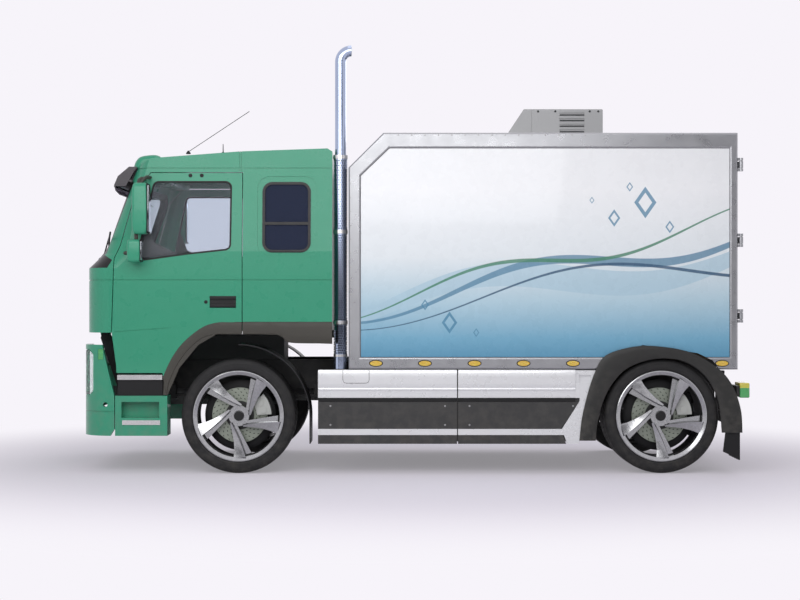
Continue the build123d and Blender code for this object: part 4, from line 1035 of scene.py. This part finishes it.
for side, sign in both_sides:
    build = bmesh.new()
    for x_low, x_high, y_high, z_low, z_high in ((779, 926, 1480, 2147, 2606), (845, 971, 1460, 1899, 2103)):
        low, high = spanned(at(x_low, 1300 * sign, z_low), at(x_high, y_high * sign, z_high))
        add_housing(build, low, high, 6.0)
    housing = solid(f"mirror_housing_{side}", build, green_paint, f"door_{side}", "cab_green", 60)
    build = bmesh.new()
    for points in (
        [(800, 1185, 2668), (815, 1300, 2662), (830, 1390, 2640), (850, 1400, 2600)],
        [(850, 1190, 2660), (860, 1300, 2650), (868, 1390, 2630), (870, 1400, 2600)],
        [(1020, 1225, 1985), (960, 1300, 1990), (920, 1370, 2015), (905, 1385, 2040)],
        [(895, 1385, 2095), (895, 1385, 2155)],
    ):
        add_tube(build, [at(x, y * sign, z) for x, y, z in points], 0.017, 14)
    solid(f"mirror_arms_{side}", build, dark_trim, f"door_{side}", "trim_dark")
    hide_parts(f"mirror_{side}")

# Dark dust shields behind the brake discs, and the handle's dark housing

for axle, hub in both_axles:
    for side, sign in both_sides:
        disc_low, disc_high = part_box(f"brake_disc_{axle}_{side}")
        inner = min(abs(disc_low.y), abs(disc_high.y)) - 0.012
        build = bmesh.new()
        dish = [(0.13, 0), (0.13, 0.004), (0.29, 0.004), (0.318, 0.012), (0.322, 0.012), (0.322, 0.008),
                (0.292, 0), (0.13, 0)]
        turned(build, dish, Vector((hub.x, sign * inner, hub.z)), (0, -sign, 0), 48)
        rides = f"knuckle_{side}" if axle == "front" else "chassis"
        solid(f"dust_shield_{axle}_{side}", build, black_plastic, rides, "black_plastic")
for side, sign in both_sides:
    build = bmesh.new()
    for z_low, z_high in ((1496, 1526), (1564, 1600)):
        low, high = spanned(at(21, sign * 1224, z_low), at(256, sign * 1239, z_high))
        add_box(build, low, high, 0.003)
    solid(f"handle_housing_{side}", build, black_plastic, f"door_{side}", "black_plastic")

# The green cap above the visor, rounded at its ends

cap_points = [(1031, 2769), (1012, 2826), (971, 2868), (890, 2884), (823, 2884), (780, 2862), (768, 2800),
              (773, 2705), (830, 2692), (887, 2690), (984, 2752), (1031, 2769)]
cap_outline = curve_through(cap_points, 40)[:-1]
cap_middle = (895, 2790)
build = bmesh.new()
rows = []
for y in (-1070, -1066, -1056, -1040, -1015, -700, -350, 0, 350, 700, 1015, 1040, 1056, 1066, 1070):
    reach = max(0.0, abs(y) - 1010) / 60
    size = sqrt(max(0.0, 1 - reach ** 2)) if reach else 1.0
    size = 0.55 + 0.45 * size
    bow = y * y / front_bow
    rows.append([build.verts.new(at(cap_middle[0] + (x - cap_middle[0]) * size - bow,
                                    y, cap_middle[1] + (z - cap_middle[1]) * size)) for x, z in cap_outline])
capped(build, rows)
solid("visor_cap", build, green_paint, "cab", "cab_green")

# Curved faces, beads and the filler flap of the side skirts, with a strip of painted shadow along the groove
# over the grey insert

skirt_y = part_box("skirt_rails")[1].y * 1000
build = bmesh.new()
shadow_strip_and_seams = bmesh.new()
for front, back in ((-722, -1966), (-1978, -3030)):
    profile = [(936, -1), (930, 3), (905, 7), (860, 9), (815, 8), (785, 5), (774, 1), (768, 4), (760, 6),
               (752, 4), (746, 0), (742, -1), (694, -1)]
    rows = [[build.verts.new(at(x, skirt_y + rise, z)) for z, rise in profile] for x in (front, back)]
    joined(build, rows, closed=False)
    for row in rows:
        build.faces.new([build.verts.new(vert.co.copy()) for vert in row])
    # Painted shadow: a near-black strip along the groove at the top of the grey insert, for the shade under
    # the upper face
    add_box(shadow_strip_and_seams, at(back, skirt_y - 3, 648), at(front, skirt_y + 0.5, 684), 0.001, 1)
# The filler flap's outline, a dark seam
flap = [(-942, 930), (-942, 845), (-950, 824), (-970, 816), (-1150, 816), (-1170, 824), (-1178, 845),
        (-1178, 930)]
add_tube(shadow_strip_and_seams, [at(x, skirt_y + 8.2, z) for x, z in flap], 0.0022, 6)
for mesh in (build, shadow_strip_and_seams):
    mirrored(mesh)
solid("skirt_faces", build, silver_paint, "chassis", "skirt_silver")
solid("skirt_shadow_and_seams", shadow_strip_and_seams, seal_rubber, "chassis", "black_plastic")


# Camera, floor and light

camera_distance = 15.4
camera_x = front_hub.x - 1.455
camera_z = 1.563
side_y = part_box("side_panels")[1].y

camera_data = bpy.data.cameras.new("camera")
camera_data.lens = 77.1
camera_data.sensor_width = 36
camera = placed("camera", camera_data)
camera.location = (camera_x, side_y + camera_distance, camera_z)
camera.rotation_euler = (radians(90), 0, radians(180))
bpy.context.scene.camera = camera

backdrop_colour = srgb(247, 244, 250)


def largest(tree, sockets):
    """The largest of several values, as a socket."""
    result = sockets[0]
    for socket in sockets[1:]:
        node = tree.nodes.new("ShaderNodeMath")
        node.operation = "MAXIMUM"
        tree.links.new(result, node.inputs[0])
        tree.links.new(socket, node.inputs[1])
        result = node.outputs[0]
    return result


def seen_rays(tree):
    """1 for rays from the camera, through glass and off gloss, else 0."""
    rays = tree.nodes.new("ShaderNodeLightPath")
    kinds = ("Is Camera Ray", "Is Transmission Ray", "Is Glossy Ray")
    return largest(tree, [rays.outputs[kind] for kind in kinds])


def glowing(tree, colour, strength):
    glow = tree.nodes.new("ShaderNodeEmission")
    glow.inputs["Color"].default_value = colour
    glow.inputs["Strength"].default_value = strength
    return glow.outputs[0]


def diffusing(tree, colour):
    diffuse = tree.nodes.new("ShaderNodeBsdfDiffuse")
    diffuse.inputs["Color"].default_value = colour
    return diffuse.outputs[0]


def blended(tree, kind, *sockets):
    """A shader that adds or mixes others."""
    node = tree.nodes.new(kind)
    for socket, entry in zip(sockets, node.inputs):
        tree.links.new(socket, entry)
    return node.outputs[0]


def floor_material():
    """Pale and lit near the truck, an even white further out."""
    material, tree, out = blank_material("floor_white")
    place = tree.nodes.new("ShaderNodeTexCoord")
    length = tree.nodes.new("ShaderNodeVectorMath")
    length.operation = "LENGTH"
    tree.links.new(place.outputs["Object"], length.inputs[0])
    far = tree.nodes.new("ShaderNodeMapRange")
    far.interpolation_type = "SMOOTHSTEP"
    far.inputs["From Min"].default_value = 3.2
    far.inputs["From Max"].default_value = 6.5
    tree.links.new(length.outputs["Value"], far.inputs["Value"])
    diffuse = diffusing(tree, tone(srgb(244, 238, 250), floor_albedo))
    lit = blended(tree, "ShaderNodeAddShader", diffuse, glowing(tree, backdrop_colour, floor_glow))
    plain = glowing(tree, backdrop_colour, 1.0)
    mixed = blended(tree, "ShaderNodeMixShader", far.outputs[0], lit, plain)
    # Only the camera, mirrors and glass see the even white
    dull = diffusing(tree, srgb(226, 224, 228))
    choice = blended(tree, "ShaderNodeMixShader", seen_rays(tree), dull, mixed)
    tree.links.new(choice, out.inputs["Surface"])
    return material


floor_albedo = 0.62
floor_glow = 0.28
bpy.ops.mesh.primitive_plane_add(size=80, location=(0, 0, 0))
floor = bpy.context.object
floor.name = "floor"
floor.data.materials.append(floor_material())

world_light = 0.42
world = bpy.data.worlds.new("studio")
bpy.context.scene.world = world
world.use_nodes = True
world_tree = world.node_tree
background = world_tree.nodes["Background"]
level = world_tree.nodes.new("ShaderNodeMapRange")
level.inputs["To Min"].default_value = world_light
level.inputs["To Max"].default_value = 1.0
world_tree.links.new(seen_rays(world_tree), level.inputs["Value"])
background.inputs["Color"].default_value = backdrop_colour
world_tree.links.new(level.outputs[0], background.inputs["Strength"])


def softbox(name, place, target, size, power):
    light = bpy.data.lights.new(name, "AREA")
    light.shape = "RECTANGLE"
    light.size, light.size_y = size
    light.energy = power
    lamp = placed(name, light)
    lamp.location = place
    aim = Vector(target) - Vector(place)
    lamp.rotation_euler = aim.to_track_quat("-Z", "Y").to_euler()


softbox("key", (2, 9, 5), (0, 0, 1.2), (9, 5), 430)
softbox("top", (-1, 0, 9), (0, 0, 0), (10, 6), 105)
softbox("back", (-4, -9, 6), (0, 0, 1.2), (9, 5), 260)


def dark_card(name, place, size):
    """A dark card that only shines in gloss, to give the metal its streaks."""
    bpy.ops.mesh.primitive_plane_add(size=1, location=place, rotation=(radians(90), 0, 0))
    card = bpy.context.object
    card.name = name
    card.scale = (size[0], size[1], 1)
    material, tree, out = blank_material(name)
    tree.links.new(glowing(tree, srgb(70, 70, 76), 1.0), out.inputs["Surface"])
    card.data.materials.append(material)
    card.visible_camera = False
    card.visible_diffuse = False
    card.visible_shadow = False
    card.visible_transmission = False


dark_card("card_low", (0, 17, 1.2), (30, 1.6))
dark_card("card_high", (0, 17, 5.6), (30, 1.8))
dark_card("card_side", (7.5, 11, 3), (1.6, 9))
dark_card("card_middle", (-5.5, 14, 4), (1.2, 8))

bpy.context.scene.view_settings.view_transform = "Standard"
